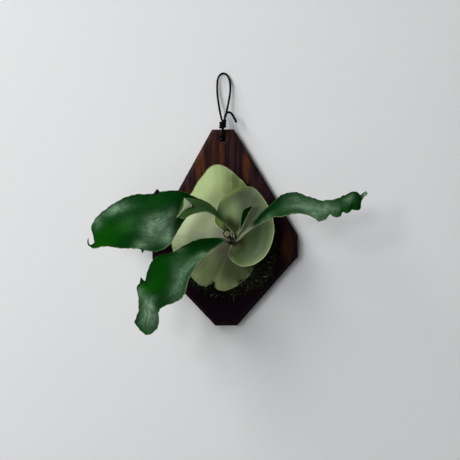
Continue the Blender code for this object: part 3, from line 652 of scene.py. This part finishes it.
def old_shield_paint():
    """Pale yellow-green, palest at the left, where painted light brightens it, with a darker, greener band
    down its upper right that is partly painted shade, darker veins below, the painted shade of the new
    shield, and a purple tinge about the crown that is darkened there as painted shade."""
    paint = ShieldPaint("old_shield_finish", vein_length=0.055, fine_width=0.0011, mottle_size=0.016)
    paint.tone = paint.ramp(paint.rise(-0.06, 0.07), OLD_SHIELD_TONES)
    shaded_green_band, pale_and_lit_left, shade = (0.09, 0.15, 0.022), (0.64, 0.73, 0.43), (0.064, 0.082, 0.032)
    # Greener tissue down the upper right, darkened as painted shade where the lobe turns away beside the new
    # shield's rim
    paint.patch((0.006, 0.052), (0.02, 0.034), 0.85, shaded_green_band)
    paint.lay((0.4, 0.45, 0.24), paint.mottle, 0.4, 0.7, 0.0, 0.22)
    veined = paint.span(paint.rise(0.02, -0.01), 0.0, 1.0, 0.08, 0.28)
    paint.lay((0.18, 0.2, 0.11), paint.times(paint.span(paint.veins, 0.46, 0.64), veined))
    paint.lay((0.2, 0.22, 0.13), paint.fine, 0.5, 0.7, 0.0, 0.07)
    # Paler tissue at the left, brightened further as painted light
    paint.patch((-0.036, 0.022), (0.042, 0.024), 0.8, pale_and_lit_left)
    paint.patch((0.01, -0.034), (0.038, 0.034), 0.92, shade)
    # A purple tinge about the crown, darkened there as painted shade in the recess
    near = paint.span(paint.radius, 0.03, 0.009)
    purple_and_shade = paint.times(near, paint.span(paint.veins, 0.3, 0.6, 0.55, 1.0))
    paint.lay((0.115, 0.095, 0.088), paint.times(purple_and_shade, 0.8))
    paint.lay((0.38, 0.46, 0.22), paint.inward, 0.0, 0.0016, 0.35, 0.0)
    relief = (paint.veins, 0.0003, 0.5), (paint.fine, 0.0001, 0.5)
    return paint.finish(0.6, *relief, Specular_IOR_Level=0.2)


def new_shield_paint():
    """Grey-green and smooth, greener below, with painted shade at the right and in the hollow about the
    crown, paler towards the rim where painted light falls on the bowl's inner wall, a patch of painted light
    at the upper left, a thin pale rim that is yellow-green at the upper left where it is brightened as
    painted light, and a painted highlight strip to the crown's left."""
    paint = ShieldPaint("new_shield_finish", vein_length=0.05, fine_width=0.0012, mottle_size=0.012)
    paint.tone = paint.ramp(paint.mottle, [(0.35, (0.078, 0.122, 0.052)), (0.65, (0.105, 0.15, 0.072))])
    paint.lay((0.14, 0.17, 0.115), paint.times(paint.rise(0.01, 0.05), 0.5))
    paint.lay((0.07, 0.105, 0.045), paint.veins, 0.45, 0.62, 0.0, 0.22)
    paint.lay((0.07, 0.09, 0.05), paint.fine, 0.5, 0.7, 0.0, 0.12)
    pale_and_lit_left, shaded_right, green_foot = (0.33, 0.45, 0.205), (0.04, 0.072, 0.024), (0.105, 0.19, 0.032)
    # Painted light at the upper left and painted shade at the right; greener at the foot
    paint.patch((-0.014, 0.034), (0.03, 0.032), 0.9, pale_and_lit_left)
    paint.patch((0.034, 0.004), (0.02, 0.026), 0.8, shaded_right)
    paint.patch((0.002, -0.018), (0.014, 0.02), 0.7, green_foot)
    # Painted shade, darker towards the crown in the bowl's hollow
    paint.lay((0.04, 0.048, 0.015), paint.radius, 0.019, 0.008, 0.0, 0.85)
    # Paler towards the rim: pale tissue, and painted light on the bowl's inner wall
    paint.lay((0.21, 0.27, 0.12), paint.inward, 0.01, 0.001, 0.0, 0.48)
    yellow_and_lit_rim, shaded_hollow, highlight_strip = (0.37, 0.5, 0.11), (0.036, 0.052, 0.012), (0.4, 0.58, 0.11)
    # The yellow-green rim at the upper left, brightened as painted light
    paint.patch((-0.004, 0.046), (0.022, 0.026), paint.span(paint.inward, 0.005, 0.0012), yellow_and_lit_rim)
    paint.lay((0.44, 0.54, 0.26), paint.inward, 0.0014, 0.0006, 0.0, 0.9)
    # Painted shade in the hollow above the crown, and a painted highlight strip to its left
    paint.patch((-0.002, 0.014), (0.009, 0.014), 0.85, shaded_hollow)
    paint.patch((-0.016, 0.013), (0.008, 0.016), 0.9, highlight_strip)
    relief = (paint.veins, 0.0002, 0.4), (paint.fine, 0.00008, 0.4)
    return paint.finish(0.55, *relief, Specular_IOR_Level=0.2)


# Meshes


def place_object(name, data):
    made = bpy.data.objects.new(name, data)
    bpy.context.scene.collection.objects.link(made)
    return made


def add_object(name, vertices, faces, materials, attributes=None, face_materials=None):
    mesh = bpy.data.meshes.new(name)
    mesh.from_pydata(np.asarray(vertices).tolist(), [], faces if isinstance(faces, list) else faces.tolist())
    for material in materials:
        mesh.materials.append(material)
    if face_materials is not None:
        mesh.polygons.foreach_set("material_index", np.asarray(face_materials, np.int32))
    for key, values in (attributes or {}).items():
        values = np.asarray(values, np.float32)
        kind, field = ("FLOAT", "value") if values.ndim == 1 else ("FLOAT_VECTOR", "vector")
        mesh.attributes.new(key, kind, "POINT").data.foreach_set(field, values.ravel())
    mesh.shade_smooth()
    return place_object(name, mesh)


def hold(piece, slot, *nodes):
    """Puts a finished piece on the one body, in place of its CAD nodes, which it hides. slot is not used."""
    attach(piece, ROOT)
    if nodes:
        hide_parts(*nodes)
    return piece


def tinted_solid(name, slot, vertices, faces, material, random, least=0, nodes=()):
    """A solid whose points have tints drawn at random."""
    tints = random.uniform(least, 1, len(vertices))
    hold(add_object(name, vertices, faces, [material], {"tint": tints}), slot, *nodes)


def grid_faces(rows, columns, closed=False):
    """Quads over a grid of vertices, wrapped round its columns if closed."""
    index = np.arange(rows * columns).reshape(rows, columns)
    if closed:
        index = np.concatenate([index, index[:, :1]], axis=1)
    quads = np.stack([index[:-1, :-1], index[:-1, 1:], index[1:, 1:], index[1:, :-1]], axis=-1)
    return quads.reshape(-1, 4)


def tube(line, radius, sides=TUBE_SIDES, braided=True):
    """Vertices and faces of a closed tube along a line, with a braid's relief."""
    tangents = unit(np.gradient(line, axis=0))
    normal = unit(np.cross(tangents[0], (0.3, 0.5, 0.81)))
    normals = []
    for tangent in tangents:
        normal = unit(normal - tangent * (normal @ tangent))
        normals.append(normal)
    normals = np.array(normals)
    across = np.cross(tangents, normals)
    angle = np.arange(sides) * 2 * math.pi / sides
    height = np.zeros((len(line), sides))
    if braided:
        height = BRAID_DEPTH * braid(along(line)[:, None], angle[None, :])
    reach = (np.reshape(radius, (-1, 1)) + height)[..., None]
    ring = np.cos(angle)[None, :, None] * normals[:, None] + np.sin(angle)[None, :, None] * across[:, None]
    vertices = line[:, None] + ring * reach
    ends = np.array([line[0] - tangents[0] * TUBE_CAP, line[-1] + tangents[-1] * TUBE_CAP])
    count = len(line) * sides
    faces = grid_faces(len(line), sides, closed=True)[:, ::-1].tolist()
    for i in range(sides):
        j = (i + 1) % sides
        faces.append([i, j, count])
        faces.append([count - sides + j, count - sides + i, count + 1])
    return np.concatenate([vertices.reshape(-1, 3), ends]), faces


def braid(length, angle):
    """Relief of a plain braid from -1 to 0: two sets of strands that pass over and under each other."""
    turn = 2 * math.pi * length / BRAID_PITCH
    first = BRAID_STRANDS * (angle - turn) / (2 * math.pi)
    second = BRAID_STRANDS * (angle + turn) / (2 * math.pi)
    first_on_top = (np.floor(first) + np.floor(second)) % 2 == 0
    within = np.where(first_on_top, first, second) % 1.0
    beside = np.where(first_on_top, second, first) % 1.0
    round_top = 1 - (2 * within - 1) ** 2
    rise = 1 - 0.5 * (2 * beside - 1) ** 2
    return round_top * rise - 1


def border_loop(rows, columns):
    """Indices round a grid's border, each once."""
    index = np.arange(rows * columns).reshape(rows, columns)
    return np.concatenate([index[0, :-1], index[:-1, -1], index[-1, :0:-1], index[:0:-1, 0]])


def border_outward(surface, border):
    """Directions out of a grid at its border."""
    inner = surface.copy()
    inner[0], inner[-1] = surface[1], surface[-2]
    inner[:, 0], inner[:, -1] = surface[:, 1], surface[:, -2]
    return unit((surface - inner).reshape(-1, 3)[border])


def frond_solid(name, surface, frond, thickness, materials, marks=None):
    """A closed leaf about a grid of points, thin and rounded at its edge. frond is its attribute, whose
    third number is the way in from the edge. The front has the first material and the back the second."""
    rows, columns = surface.shape[:2]
    count = rows * columns
    normals, turned = front_normals(surface)
    half = thickness[..., None] / 2
    front, back = surface + normals * half, surface - normals * half
    border = border_loop(rows, columns)
    rim = surface.reshape(-1, 3)[border] + border_outward(surface, border) * half.reshape(-1, 1)[border]
    vertices = np.concatenate([front.reshape(-1, 3), back.reshape(-1, 3), rim])
    ring = np.concatenate([border, 2 * count + np.arange(len(border)), border + count])
    edge_faces = ring[grid_faces(3, len(border), closed=True)]
    front_faces = grid_faces(rows, columns)
    faces = np.concatenate([front_faces, edge_faces, front_faces[:, ::-1] + count])
    if turned:
        faces = faces[:, ::-1]
    attributes = {}
    for key, values in (("frond", frond), ("marks", marks)):
        if values is not None:
            flat = values.reshape(-1, 3)
            attributes[key] = np.concatenate([flat, flat, flat[border]])
    return add_object(name, vertices, faces, materials, attributes, np.repeat([0, 1], len(faces) // 2))


def edge_distance(surface):
    """How far each point of a grid lies from the nearest of its long edges and last row, and from each long
    edge."""
    across = np.linalg.norm(np.diff(surface, axis=1), axis=2)
    first = np.concatenate([np.zeros((len(surface), 1)), np.cumsum(across, axis=1)], axis=1)
    last = first[:, -1:] - first
    lengths = np.linalg.norm(np.diff(surface, axis=0), axis=2)
    ahead = np.concatenate([np.cumsum(lengths[::-1], axis=0)[::-1], np.zeros((1, surface.shape[1]))])
    return np.minimum(np.minimum(first, last), ahead), first, last


def arched_rows(table):
    """A table's rows as points: an edge, the arched middle and the other edge."""
    rows = []
    for *ends, arch in table:
        edge, other = ends[:3], ends[3:]
        middle = [(a + b) / 2 for a, b in zip(edge, other)]
        middle[1] += arch
        rows.append((edge, middle, other))
    return rows


def soft_marks(length, sideways, table):
    """The strength of a frond's soft marks at its points."""
    total = 0 * length
    for at, beside, reach, breadth, strength in table:
        away = ((length - at * MM) / (reach * MM)) ** 2 + ((sideways - beside * MM) / (breadth * MM)) ** 2
        total = total + strength * np.exp(-away)
    return np.clip(total, 0, 1)


def antler(name, node, slot, rows, materials, seed, bloom_and_sheen, fresh, stalk, ruffle):
    """An antler frond: a stalk that widens into a blade, uneven and slightly ruffled at its edges. stalk is
    how many millimetres of it are pale."""
    surface = smooth_sheet(from_crown(rows), *FROND_STEPS)
    inward, first, last = edge_distance(surface)
    width = first[:, -1:]
    middle = surface[:, surface.shape[1] // 2]
    length = along(middle)[:, None] + 0 * first
    sideways = first - width / 2
    blade = smooth_step((length - BLADE_START) / BLADE_GROWTH)
    relief = BLADE_RELIEF * waves(seed, length, sideways, longest=BLADE_WAVE)
    near_edge = 1 - smooth_step(inward / np.maximum(RUFFLED_SHARE * width, 0.001))
    ruffles = waves(seed + 1, length + 0.4 * sideways, longest=RUFFLE_WAVE, count=3)
    relief = relief + ruffle * near_edge * ruffles
    relief = relief - RIB_DEPTH * hump(sideways, RIB_WIDTH)
    surface = surface + front_normals(surface)[0] * (relief * blade)[..., None]
    side = np.sign(sideways)
    outer = (1 - smooth_step(inward / UNEVEN_MARGIN)) * side * smooth_step(width / UNEVEN_FROM)
    uneven = ruffle * outer * blade * waves(seed + 2, length + 3 * side, longest=UNEVEN_WAVE, count=4)
    surface = surface + unit(np.gradient(surface, axis=1)) * uneven[..., None]
    full, thin = (stem - thinner * blade for stem, thinner in (MIDDLE_THICKNESS, EDGE_THICKNESS))
    share = np.clip(2 * inward / np.maximum(width, 1e-6), 0, 1)
    frond = np.stack([length, sideways + seed * 0.37, inward], axis=-1)
    pale = 1 - smooth_step((length - stalk * MM) / PALE_FADE)
    # Dimmer at the base, so that the pale stalk peaks partway along as a painted highlight
    pale = pale * (0.4 + 0.6 * smooth_step(length / (0.6 * stalk * MM)))
    # A pale line of painted highlight along one edge, fading out along the frond
    edge_ends = 1 - smooth_step((length - PALE_EDGE_HIGHLIGHT_LENGTH) / PALE_EDGE_HIGHLIGHT_FADE)
    pale = np.maximum(pale, 0.5 * hump(last, PALE_EDGE_HIGHLIGHT) * edge_ends)
    marks = [soft_marks(length, sideways, table) for table in (bloom_and_sheen, fresh)]
    marks = np.stack([*marks, pale], axis=-1)
    thickness = thin + (full - thin) * smooth_step(share)
    hold(frond_solid(name, surface, frond, thickness, materials, marks), slot, node)


def spur(name, slot, first, second, tip, materials):
    """A small pointed lobe at a frond's margin. It ends a little before its tip, so it has no edge of no
    width."""
    first, second, tip = from_wall([first, second, tip])
    share = np.linspace(0, SPUR_END, SPUR_STEPS[0] + 1)[:, None, None]
    across = np.linspace(0, 1, SPUR_STEPS[1] + 1)[None, :, None]
    base = first + (second - first) * across
    surface = base + (tip - base) * share**0.85
    both = 0 * (share + across)
    frond = np.concatenate([0.05 + 0.004 * share + both, 0.3 + 0.003 * across + both, 0.002 + both], axis=2)
    thickness = np.full(surface.shape[:2], SPUR_THICKNESS)
    hold(frond_solid(name, surface, frond, thickness, materials, 0 * frond), slot)


def curl(name, slot, table, materials):
    """The turned-over end of a frond, with its felted underside outward."""
    surface = smooth_sheet(from_wall(arched_rows(table)), *CURL_STEPS)
    inward, first, _ = edge_distance(surface)
    length = along(surface[:, 0])[:, None] + 0 * first
    frond = np.stack([length, first + 0.2, inward], axis=-1)
    hold(frond_solid(name, surface, frond, CURL_THICKNESS + 0 * length, materials), slot)


def shield_rows(table):
    """Points on each radius of a shield frond, with the heights of the inner ones evened out."""
    table = np.array(table, float)
    heights, forward = table[:, :2], table[:, 3]
    for _ in range(3):
        padded = np.concatenate([heights[:1], heights, heights[-1:]])
        heights = (padded[:-2] + 2 * padded[1:-1] + padded[2:]) / 4
    near, far = heights.T
    out = table[:, [2, 4]] - RHIZOME_CENTRE
    start = (SHIELD_INNER_RADIUS / np.linalg.norm(out, axis=1))[:, None]
    rows = []
    for share, height in zip((0.0, *SHIELD_SHARES, 1.0), (near, near, far, forward)):
        right, up = (RHIZOME_CENTRE + (start + (1 - start) * share) * out).T
        rows.append(np.stack([right, height, up], axis=1))
    return np.stack(rows, axis=1)


def shield(kind, table, materials, seed, ruffle, ribs):
    """A shield frond: a bowl of radial ribs that fork outward, ruffled at its edge."""
    surface = smooth_sheet(from_crown(shield_rows(table)), *SHIELD_STEPS)
    radius = np.stack([along(row) for row in surface])
    size = radius[:, -1:]
    share = radius / size
    edge = along(surface[:, -1])[:, None]
    inward = np.minimum(size - radius, np.minimum(edge, edge[-1] - edge) * share + 0 * radius)
    way = 2 * math.pi * edge / edge[-1]
    outer = smooth_step((share - 0.35) / 0.65)
    forks = outer * np.cos(2 * SHIELD_RIBS * way + 3 * share)
    relief = ribs * (0.6 * np.cos(SHIELD_RIBS * way + 2 * share) + forks) * smooth_step(share / 0.3)
    relief = relief + ruffle * outer**2 * waves(seed, edge + 0 * share, longest=SHIELD_RUFFLE_WAVE, count=4)
    slow = waves(seed + 1, surface[..., 0], surface[..., 2], longest=SHIELD_WAVE)
    relief = relief + SHIELD_RELIEF * outer * slow
    surface = surface + front_normals(surface)[0] * relief[..., None]
    thickness = SHIELD_RIM + (SHIELD_THICKNESS - SHIELD_RIM) * smooth_step(inward / SHIELD_TAPER)
    frond = np.stack([0.6 * edge + 0 * share, radius, inward], axis=-1)
    hold(frond_solid(f"{kind}_bowl", surface, frond, thickness, materials), kind, f"{kind}_frond")


def strands(name, slot, roots, out, lie, lengths, widths, tints, spread, material, seed, segments=3):
    """Thin tapered ribbons that start at roots, head along lie and lift towards out. Each swings aside,
    and spread says how far they differ in that."""
    random = np.random.default_rng(seed)
    count = len(roots)
    side = unit(np.cross(out, lie))
    swing = random.normal(0, spread, count)
    lift = random.uniform(-0.2, 1.0, count)
    centre, direction = roots.copy(), unit(lie)
    levels = []
    for level in range(segments + 1):
        share = level / segments
        half = widths * (1 - share) ** 0.6 / 2 + STRAND_TIP
        levels.append(centre - side * half[:, None])
        levels.append(centre + side * half[:, None])
        centre = centre + direction * (lengths / segments)[:, None]
        rise = out * (lift * (0.5 - share) / segments)[:, None]
        direction = unit(direction + side * (swing / segments)[:, None] + rise)
    vertices = np.stack(levels, axis=1).reshape(-1, 3)
    one = np.array([[2 * k, 2 * k + 1, 2 * k + 3, 2 * k + 2] for k in range(segments)])
    per = 2 * (segments + 1)
    faces = (one[None] + per * np.arange(count)[:, None, None]).reshape(-1, 4)
    hold(add_object(name, vertices, faces, [material], {"tint": np.repeat(tints, per)}), slot)


# Stage


def make_camera():
    camera = place_object("camera", bpy.data.cameras.new("camera"))
    camera.location = (CAMERA_AIM[0], -CAMERA_DISTANCE, CAMERA_AIM[1])
    camera.rotation_euler = (math.pi / 2, 0, 0)
    camera.data.sensor_width = SENSOR_WIDTH
    camera.data.lens = SENSOR_WIDTH * CAMERA_DISTANCE / VIEW_WIDTH
    camera.data.clip_start = 0.01
    bpy.context.scene.camera = camera


def wall_paint():
    """Pale, and clear from behind."""
    paint = Paint("wall_paint", WALL_COLOURS[0])
    paint.lay(WALL_COLOURS[1], paint.noise(paint.geometry(), 0.16))
    roller = paint.noise(paint.geometry(), (0.0012, 0.0012, 0.003))
    material = paint.finish(0.8, (roller, 0.0002, 0.35), Specular_IOR_Level=0.2)
    clear = paint.node("BsdfTransparent", {}).outputs[0]
    sides = {0: paint.geometry("Backfacing"), 1: paint.shader.outputs[0], 2: clear}
    paint.set(paint.nodes["Material Output"], {"Surface": paint.node("MixShader", sides).outputs[0]})
    return material


def make_wall():
    """A pale wall behind the board. Only its front shows, and it is open behind the board, so that the
    object's back is seen and lit."""
    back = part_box("board")[1].y + WALL_GAP
    rear = [point.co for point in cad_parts["board"].data.vertices if point.co.y > back - MM]
    hull = convex_hull_2d([(point.x, point.z) for point in rear])
    outline = np.array([(rear[i].x, rear[i].z) for i in hull])
    middle = outline.mean(axis=0)
    hole = middle + WALL_OPENING * (outline - middle)
    far = WALL_REACH * unit(hole - middle)
    corners = [(x, back, z) for x, z in np.concatenate([hole, far])]
    faces = grid_faces(2, len(hole), closed=True)
    if np.linalg.det([hole[0] - middle, hole[1] - middle]) > 0:
        faces = faces[:, ::-1]
    wall = add_object("wall", corners, faces, [wall_paint()])
    wall.data.shade_flat()


def make_light(name, direction, distance, size, power):
    """A square area light that looks at the plant. direction points from the plant to it."""
    low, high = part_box("old_shield_frond")
    target = (np.array(low) + np.array(high)) / 2
    toward = unit(np.array(direction, float))
    light = place_object(name, bpy.data.lights.new(name, "AREA"))
    light.data.size = size
    light.data.energy = power
    light.location = target + toward * distance
    light.rotation_mode = "QUATERNION"
    light.rotation_quaternion = Vector(toward).to_track_quat("Z", "Y")


def make_world():
    """A faint glow all round, and soft light from behind the wall for the object's back."""
    world = bpy.data.worlds.new("room")
    sky = Nodes(world)
    direction = sky.node("TexCoord", {}).outputs["Generated"]
    glow = sky.span(sky.parts(direction, "Y")[0], 0.0, 0.5, FRONT_GLOW, BACK_GLOW)
    seen = sky.node("LightPath", {}).outputs["Is Camera Ray"]
    strength = sky.node("Mix", {"Factor": seen, "A": glow, "B": BACKDROP}).outputs["Result"]
    sky.set(sky.nodes["Background"], {"Color": ROOM_COLOUR, "Strength": strength})
    bpy.context.scene.world = world


# Pieces


def knot_line():
    """The wraps, rising round both strands from behind them, and then the free end."""
    centre_x, centre_y, top = KNOT_TOP
    wraps = []
    for turns_left in np.linspace(KNOT_TURNS, 0, KNOT_STEPS + 1):
        angle = KNOT_LAST_ANGLE + 2 * math.pi * turns_left
        across, out = math.cos(angle), math.sin(angle)
        x = centre_x + KNOT_HALF_WIDTH * math.copysign(abs(across) ** KNOT_FULLNESS, across)
        y = centre_y - KNOT_HALF_DEPTH * math.copysign(abs(out) ** KNOT_FULLNESS, out)
        wraps.append((x, y, top - KNOT_PITCH * turns_left - KNOT_SLANT * out))
    return np.concatenate([wraps, smooth_through(from_wall(TAIL_ROUTE), TAIL_STEPS)])


def stopper_line():
    """An overhand knot, drawn tight, with its two ends cut short."""
    low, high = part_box("stopper_knot")
    centre, half = (np.array(low) + np.array(high)) / 2, (np.array(high) - np.array(low)) / 2
    t = np.linspace(-0.44 * math.pi, 1.44 * math.pi, STOPPER_STEPS)
    knot = np.stack([np.sin(t) + 2 * np.sin(2 * t), -np.sin(3 * t), np.cos(t) - 2 * np.cos(2 * t)], axis=1)
    room = half - CORD_DIAMETER / 2
    return centre + knot / np.abs(knot).max(axis=0) * room


def make_cords():
    paint = cord_paint()
    radius = CORD_DIAMETER / 2
    held, lines = [], []
    for name, node, route, thickness in (
        ("cord_loop", "hanging_cord", smooth_through(from_wall(CORD_ROUTE), LOOP_STEPS), 1),
        ("cord_wraps", "cord_knot", knot_line(), KNOT_THICKER),
        ("cord_stopper", "stopper_knot", stopper_line(), 1),
    ):
        lines.append(evenly_spaced(route, TUBE_STEP))
        made = add_object(name, *tube(lines[-1], thickness * radius), [paint])
        held.append(hold(made, "black_cord", node))


def make_board():
    """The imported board, with its sharp edges eased."""
    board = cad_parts["board"]
    weld = board.modifiers.new("weld", "WELD")
    weld.merge_threshold = 0.00001
    ease = board.modifiers.new("eased_edges", "BEVEL")
    ease.width = 0.0005
    ease.segments = 2
    ease.limit_method = "ANGLE"
    ease.angle_limit = math.radians(30)
    ease.harden_normals = True
    board.data.materials.clear()
    board.data.materials.append(wood_paint())


def make_shields():
    for kind, table, paint, under, seed, ruffle, ribs in (
        ("old", OLD_SHIELD, old_shield_paint, OLD_UNDERSIDE, 31, 0.0008, 0.00009),
        ("new", NEW_SHIELD, new_shield_paint, NEW_UNDERSIDE, 33, 0.0002, 0.00004),
    ):
        materials = [paint(), underside_paint(f"{kind}_underside_finish", *under)]
        shield(f"{kind}_shield", table, materials, seed, ruffle, ribs)


def make_fronds():
    green, young = (
        [antler_paint(f"{kind}_green_finish", *upper), underside_paint(f"{kind}_underside_finish", *under)]
        for kind, upper, under in (
            ("antler", ANTLER_GREENS, ANTLER_UNDERSIDE), ("young", YOUNG_GREENS, YOUNG_UNDERSIDE)
        )
    )
    folded = underside_paint("folded_underside_finish", *FOLDED_UNDERSIDE)
    for node, table, seed, *marks in (
        ("left_frond", LEFT_FROND, 1, LEFT_BLOOM_AND_SHEEN, LEFT_FRESH, 20),
        ("lower_frond", LOWER_FROND, 2, LOWER_BLOOM_AND_SHEEN, LOWER_FRESH, 4),
        ("right_frond", RIGHT_FROND, 3, RIGHT_BLOOM_AND_SHEEN, RIGHT_FRESH, 22),
    ):
        antler(f"{node}_blade", node, "antler_green", arched_rows(table), green, seed, *marks, FULL_RUFFLE)
    for kind, rows, materials, seed, *marks in (
        ("left", arched_rows(YOUNG_LEFT_FROND), young, 4, YOUNG_BLOOM_AND_SHEEN, YOUNG_FRESH, 10),
        ("upright", YOUNG_UPRIGHT_FROND, [green[0], folded], 5, [], YOUNG_UPRIGHT_FRESH, 8),
    ):
        name = f"young_{kind}"
        antler(f"{name}_blade", f"{name}_frond", "young_green", rows, materials, seed, *marks, YOUNG_RUFFLE)
    # The small lobe tip above the left frond is coloured near black as painted shade
    shaded_tip = tint_paint("shaded_tip_finish", SCALE_GRAIN, SHADED_TIP_COLOURS)
    spur("left_frond_spur", "antler_green", *LEFT_SPUR, green)
    spur("left_frond_shaded_tip", "antler_green", *LEFT_DARK_TIP, [shaded_tip, shaded_tip])
    spur("lower_frond_spur", "antler_green", *LOWER_SPUR, green)
    pale = underside_paint("young_curl_finish", *CURL_UNDERSIDE)
    curl("young_left_curl", "young_green", YOUNG_CURL, [pale, young[0]])


def make_rhizome():
    """The crown's short stem, wrapped in papery scales, with a curled bud at its side."""
    centre = crown() + from_wall((RHIZOME_CENTRE[0], 0, RHIZOME_CENTRE[1]))
    angle = np.linspace(0, 2 * math.pi, STEM_SIDES + 1)[:-1]
    radius, depth = smooth_through(STEM_PROFILE, STEM_STEPS).T[..., None]
    lumpy = 1 + 0.06 * np.cos(5 * angle + 1) + 0.04 * np.cos(9 * angle)
    ring = np.stack([np.cos(angle), 0 * angle, np.sin(angle)], axis=1)
    surface = centre + ring[None] * (STEM_RADIUS * radius * lumpy)[..., None]
    surface[..., 1] = centre[1] - depth * MM
    rows, columns = surface.shape[:2]
    vertices = surface.reshape(-1, 3)
    faces = grid_faces(rows, columns, closed=True).tolist()
    faces.append(list(range(columns))[::-1])
    faces.append(list(range((rows - 1) * columns, rows * columns)))
    random = np.random.default_rng(21)
    brown = tint_paint("rhizome_finish", SCALE_GRAIN, STEM_BROWN)
    tinted_solid("rhizome_stem", "rhizome", vertices, faces, brown, random, nodes=["rhizome"])

    count, length, width = STEM_SCALES
    row = random.integers(1, rows - 12, count)
    column = random.integers(0, columns, count)
    roots = surface[row, column]
    out = unit(roots - centre + np.array((0, 0.004, 0)))
    lie = unit(random.normal(size=(count, 3)) * 0.5 + out * 0.6 + np.array((0, -0.9, 0)))
    tints = random.uniform(0, 1, count)
    widths, lengths = random.uniform(*width, count), random.uniform(*length, count)
    papery = tint_paint("scale_finish", SCALE_GRAIN, SCALE_BROWN)
    strands("rhizome_scales", "rhizome", roots, out, lie, lengths, widths, tints, 1.2, papery, 22)
    make_bud(random)


def make_bud(random):
    """A crozier: the coiled tip of a frond to come, with a coat of short hairs and dark scales behind it."""
    centre = from_crown(BUD_PLACE)
    t = np.linspace(0, 1, BUD_STEPS)
    radius = BUD_COIL[0] + BUD_COIL[1] * t**0.8
    turn = 2 * math.pi * BUD_TURNS * t + 2.0
    deep = 0.0012 * (1 - t) + 0.0012 * smooth_step((t - 0.82) / 0.18)
    line = centre + np.stack([radius * np.cos(turn), deep, radius * np.sin(turn)], axis=1)
    vertices, faces = tube(line, BUD_THICKNESS[0] + BUD_THICKNESS[1] * t, sides=BUD_SIDES, braided=False)
    tan = tint_paint("bud_finish", SCALE_GRAIN, BUD_TAN, 0.75)
    tinted_solid("rhizome_bud", "rhizome", vertices, faces, tan, random, least=0.2)

    count, length, width = BUD_HAIRS
    picked = random.integers(0, len(vertices) - 2, count)
    roots = vertices[picked]
    out = unit(roots - line[picked // BUD_SIDES])
    lie = unit(out + random.normal(0, 0.7, (count, 3)))
    lengths, tints = random.uniform(*length, count), random.uniform(0.4, 1, count)
    hairs = np.full(count, width)
    strands("bud_hairs", "rhizome", roots, out, lie, lengths, hairs, tints, 0.6, tan, 23, segments=2)

    count, length, width = BUD_SCALES
    angle = random.uniform(0, 2 * math.pi, count)
    out = np.stack([np.cos(angle), -0.3 + 0 * angle, np.sin(angle)], axis=1)
    roots = centre + out * random.uniform(0.0026, 0.004, count)[:, None] + (0, 0.003, 0)
    lie = unit(out + random.normal(0, 0.3, (count, 3)))
    lengths, widths, tints = (random.uniform(*ends, count) for ends in (length, width, (0, 1)))
    dark = tint_paint("bud_scale_finish", SCALE_GRAIN, BUD_SCALE_BROWN)
    strands("bud_scales", "rhizome", roots, unit(out), lie, lengths, widths, tints, 0.8, dark, 24)


def make_moss():
    """The root ball, uneven and covered with lying strands."""
    low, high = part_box("moss_mound")
    centre = np.array(((low.x + high.x) / 2, high.y, (low.z + high.z) / 2))
    half_width, depth, half_height = (high.x - low.x) / 2, high.y - low.y, (high.z - low.z) / 2
    angle = np.linspace(0, 2 * math.pi, MOSS_SIDES + 1)[:-1]
    share = np.sin(np.linspace(0, math.pi / 2, MOSS_RINGS + 1))
    share, angle = np.meshgrid(share, angle, indexing="ij")
    from_dent = np.remainder(angle - MOSS_DENT_ANGLE + math.pi, 2 * math.pi) - math.pi
    dent = MOSS_DENT_DEPTH * hump(from_dent, MOSS_DENT_WIDTH)
    outline = 0.985 - 0.03 * np.cos(4 * angle - math.radians(20)) - dent
    x = half_width * share * outline * np.cos(angle)
    z = half_height * share * outline * np.sin(angle)
    rise = np.sqrt(np.maximum(1 - share**2.6, 0))
    lumps = MOSS_LUMPS[0] * waves(5, x, z, longest=MOSS_LUMPS[1], count=6)
    lumps = lumps + MOSS_FINE_LUMPS[0] * waves(6, x, z, longest=MOSS_FINE_LUMPS[1])
    y = -depth * rise + lumps * (share < 0.999)
    surface = np.stack([x, y, z], axis=-1) + centre
    surface[0] = surface[0].mean(axis=0)
    rows, columns = surface.shape[:2]
    vertices = surface.reshape(-1, 3)
    faces = grid_faces(rows, columns, closed=True)[:, ::-1].tolist()
    faces.append(list(range((rows - 1) * columns, rows * columns)))
    random = np.random.default_rng(11)
    peat = tint_paint("moss_bed_finish", MOSS_GRAIN, PEAT_BROWN)
    tinted_solid("moss_bed", "moss", vertices, faces, peat, random, nodes=["moss_mound"])

    count, length, width = MOSS_STRANDS
    normals = front_normals(surface)[0]
    reach = np.sqrt(random.uniform(0.02, 1, count))
    row = np.clip((np.arcsin(reach) / (math.pi / 2) * (rows - 1)).astype(int), 1, rows - 1)
    column = random.integers(0, columns, count)
    roots, out = surface[row, column], normals[row, column]
    roots = roots - out * 0.0006 + random.normal(0, 0.0004, (count, 3))
    lie = unit(random.normal(size=(count, 3)) + np.cross(out, (0, 1, 0)) * 0.8)
    lift = random.uniform(0.05, 0.55, count)[:, None]
    lie = unit(lie - out * (lie * out).sum(axis=1)[:, None] + out * lift)
    lengths = random.uniform(*length, count)
    at_rim = smooth_step((reach - 0.86) / 0.12)
    lie = unit(lie + out * (at_rim * random.uniform(0, 1.3, count))[:, None])
    widths = random.uniform(*width, count)
    tints = random.beta(1.2, 4.0, count)
    chance = random.uniform(size=count)
    tints[chance < BRIGHT_SHARE] = random.uniform(0.55, 0.86, (chance < BRIGHT_SHARE).sum())
    tints[chance < PALE_SHARE] = 1.0
    fibre = tint_paint("moss_strand_finish", MOSS_GRAIN, MOSS_GREENS)
    strands("moss_strands", "moss", roots, out, lie, lengths, widths, tints, 0.9, fibre, 12)


bpy.context.scene.view_settings.view_transform = "Standard"
make_camera()
make_cords()
make_wall()
make_world()
for light in LIGHTS:
    make_light(*light)
make_board()
make_shields()
make_fronds()
make_rhizome()
make_moss()
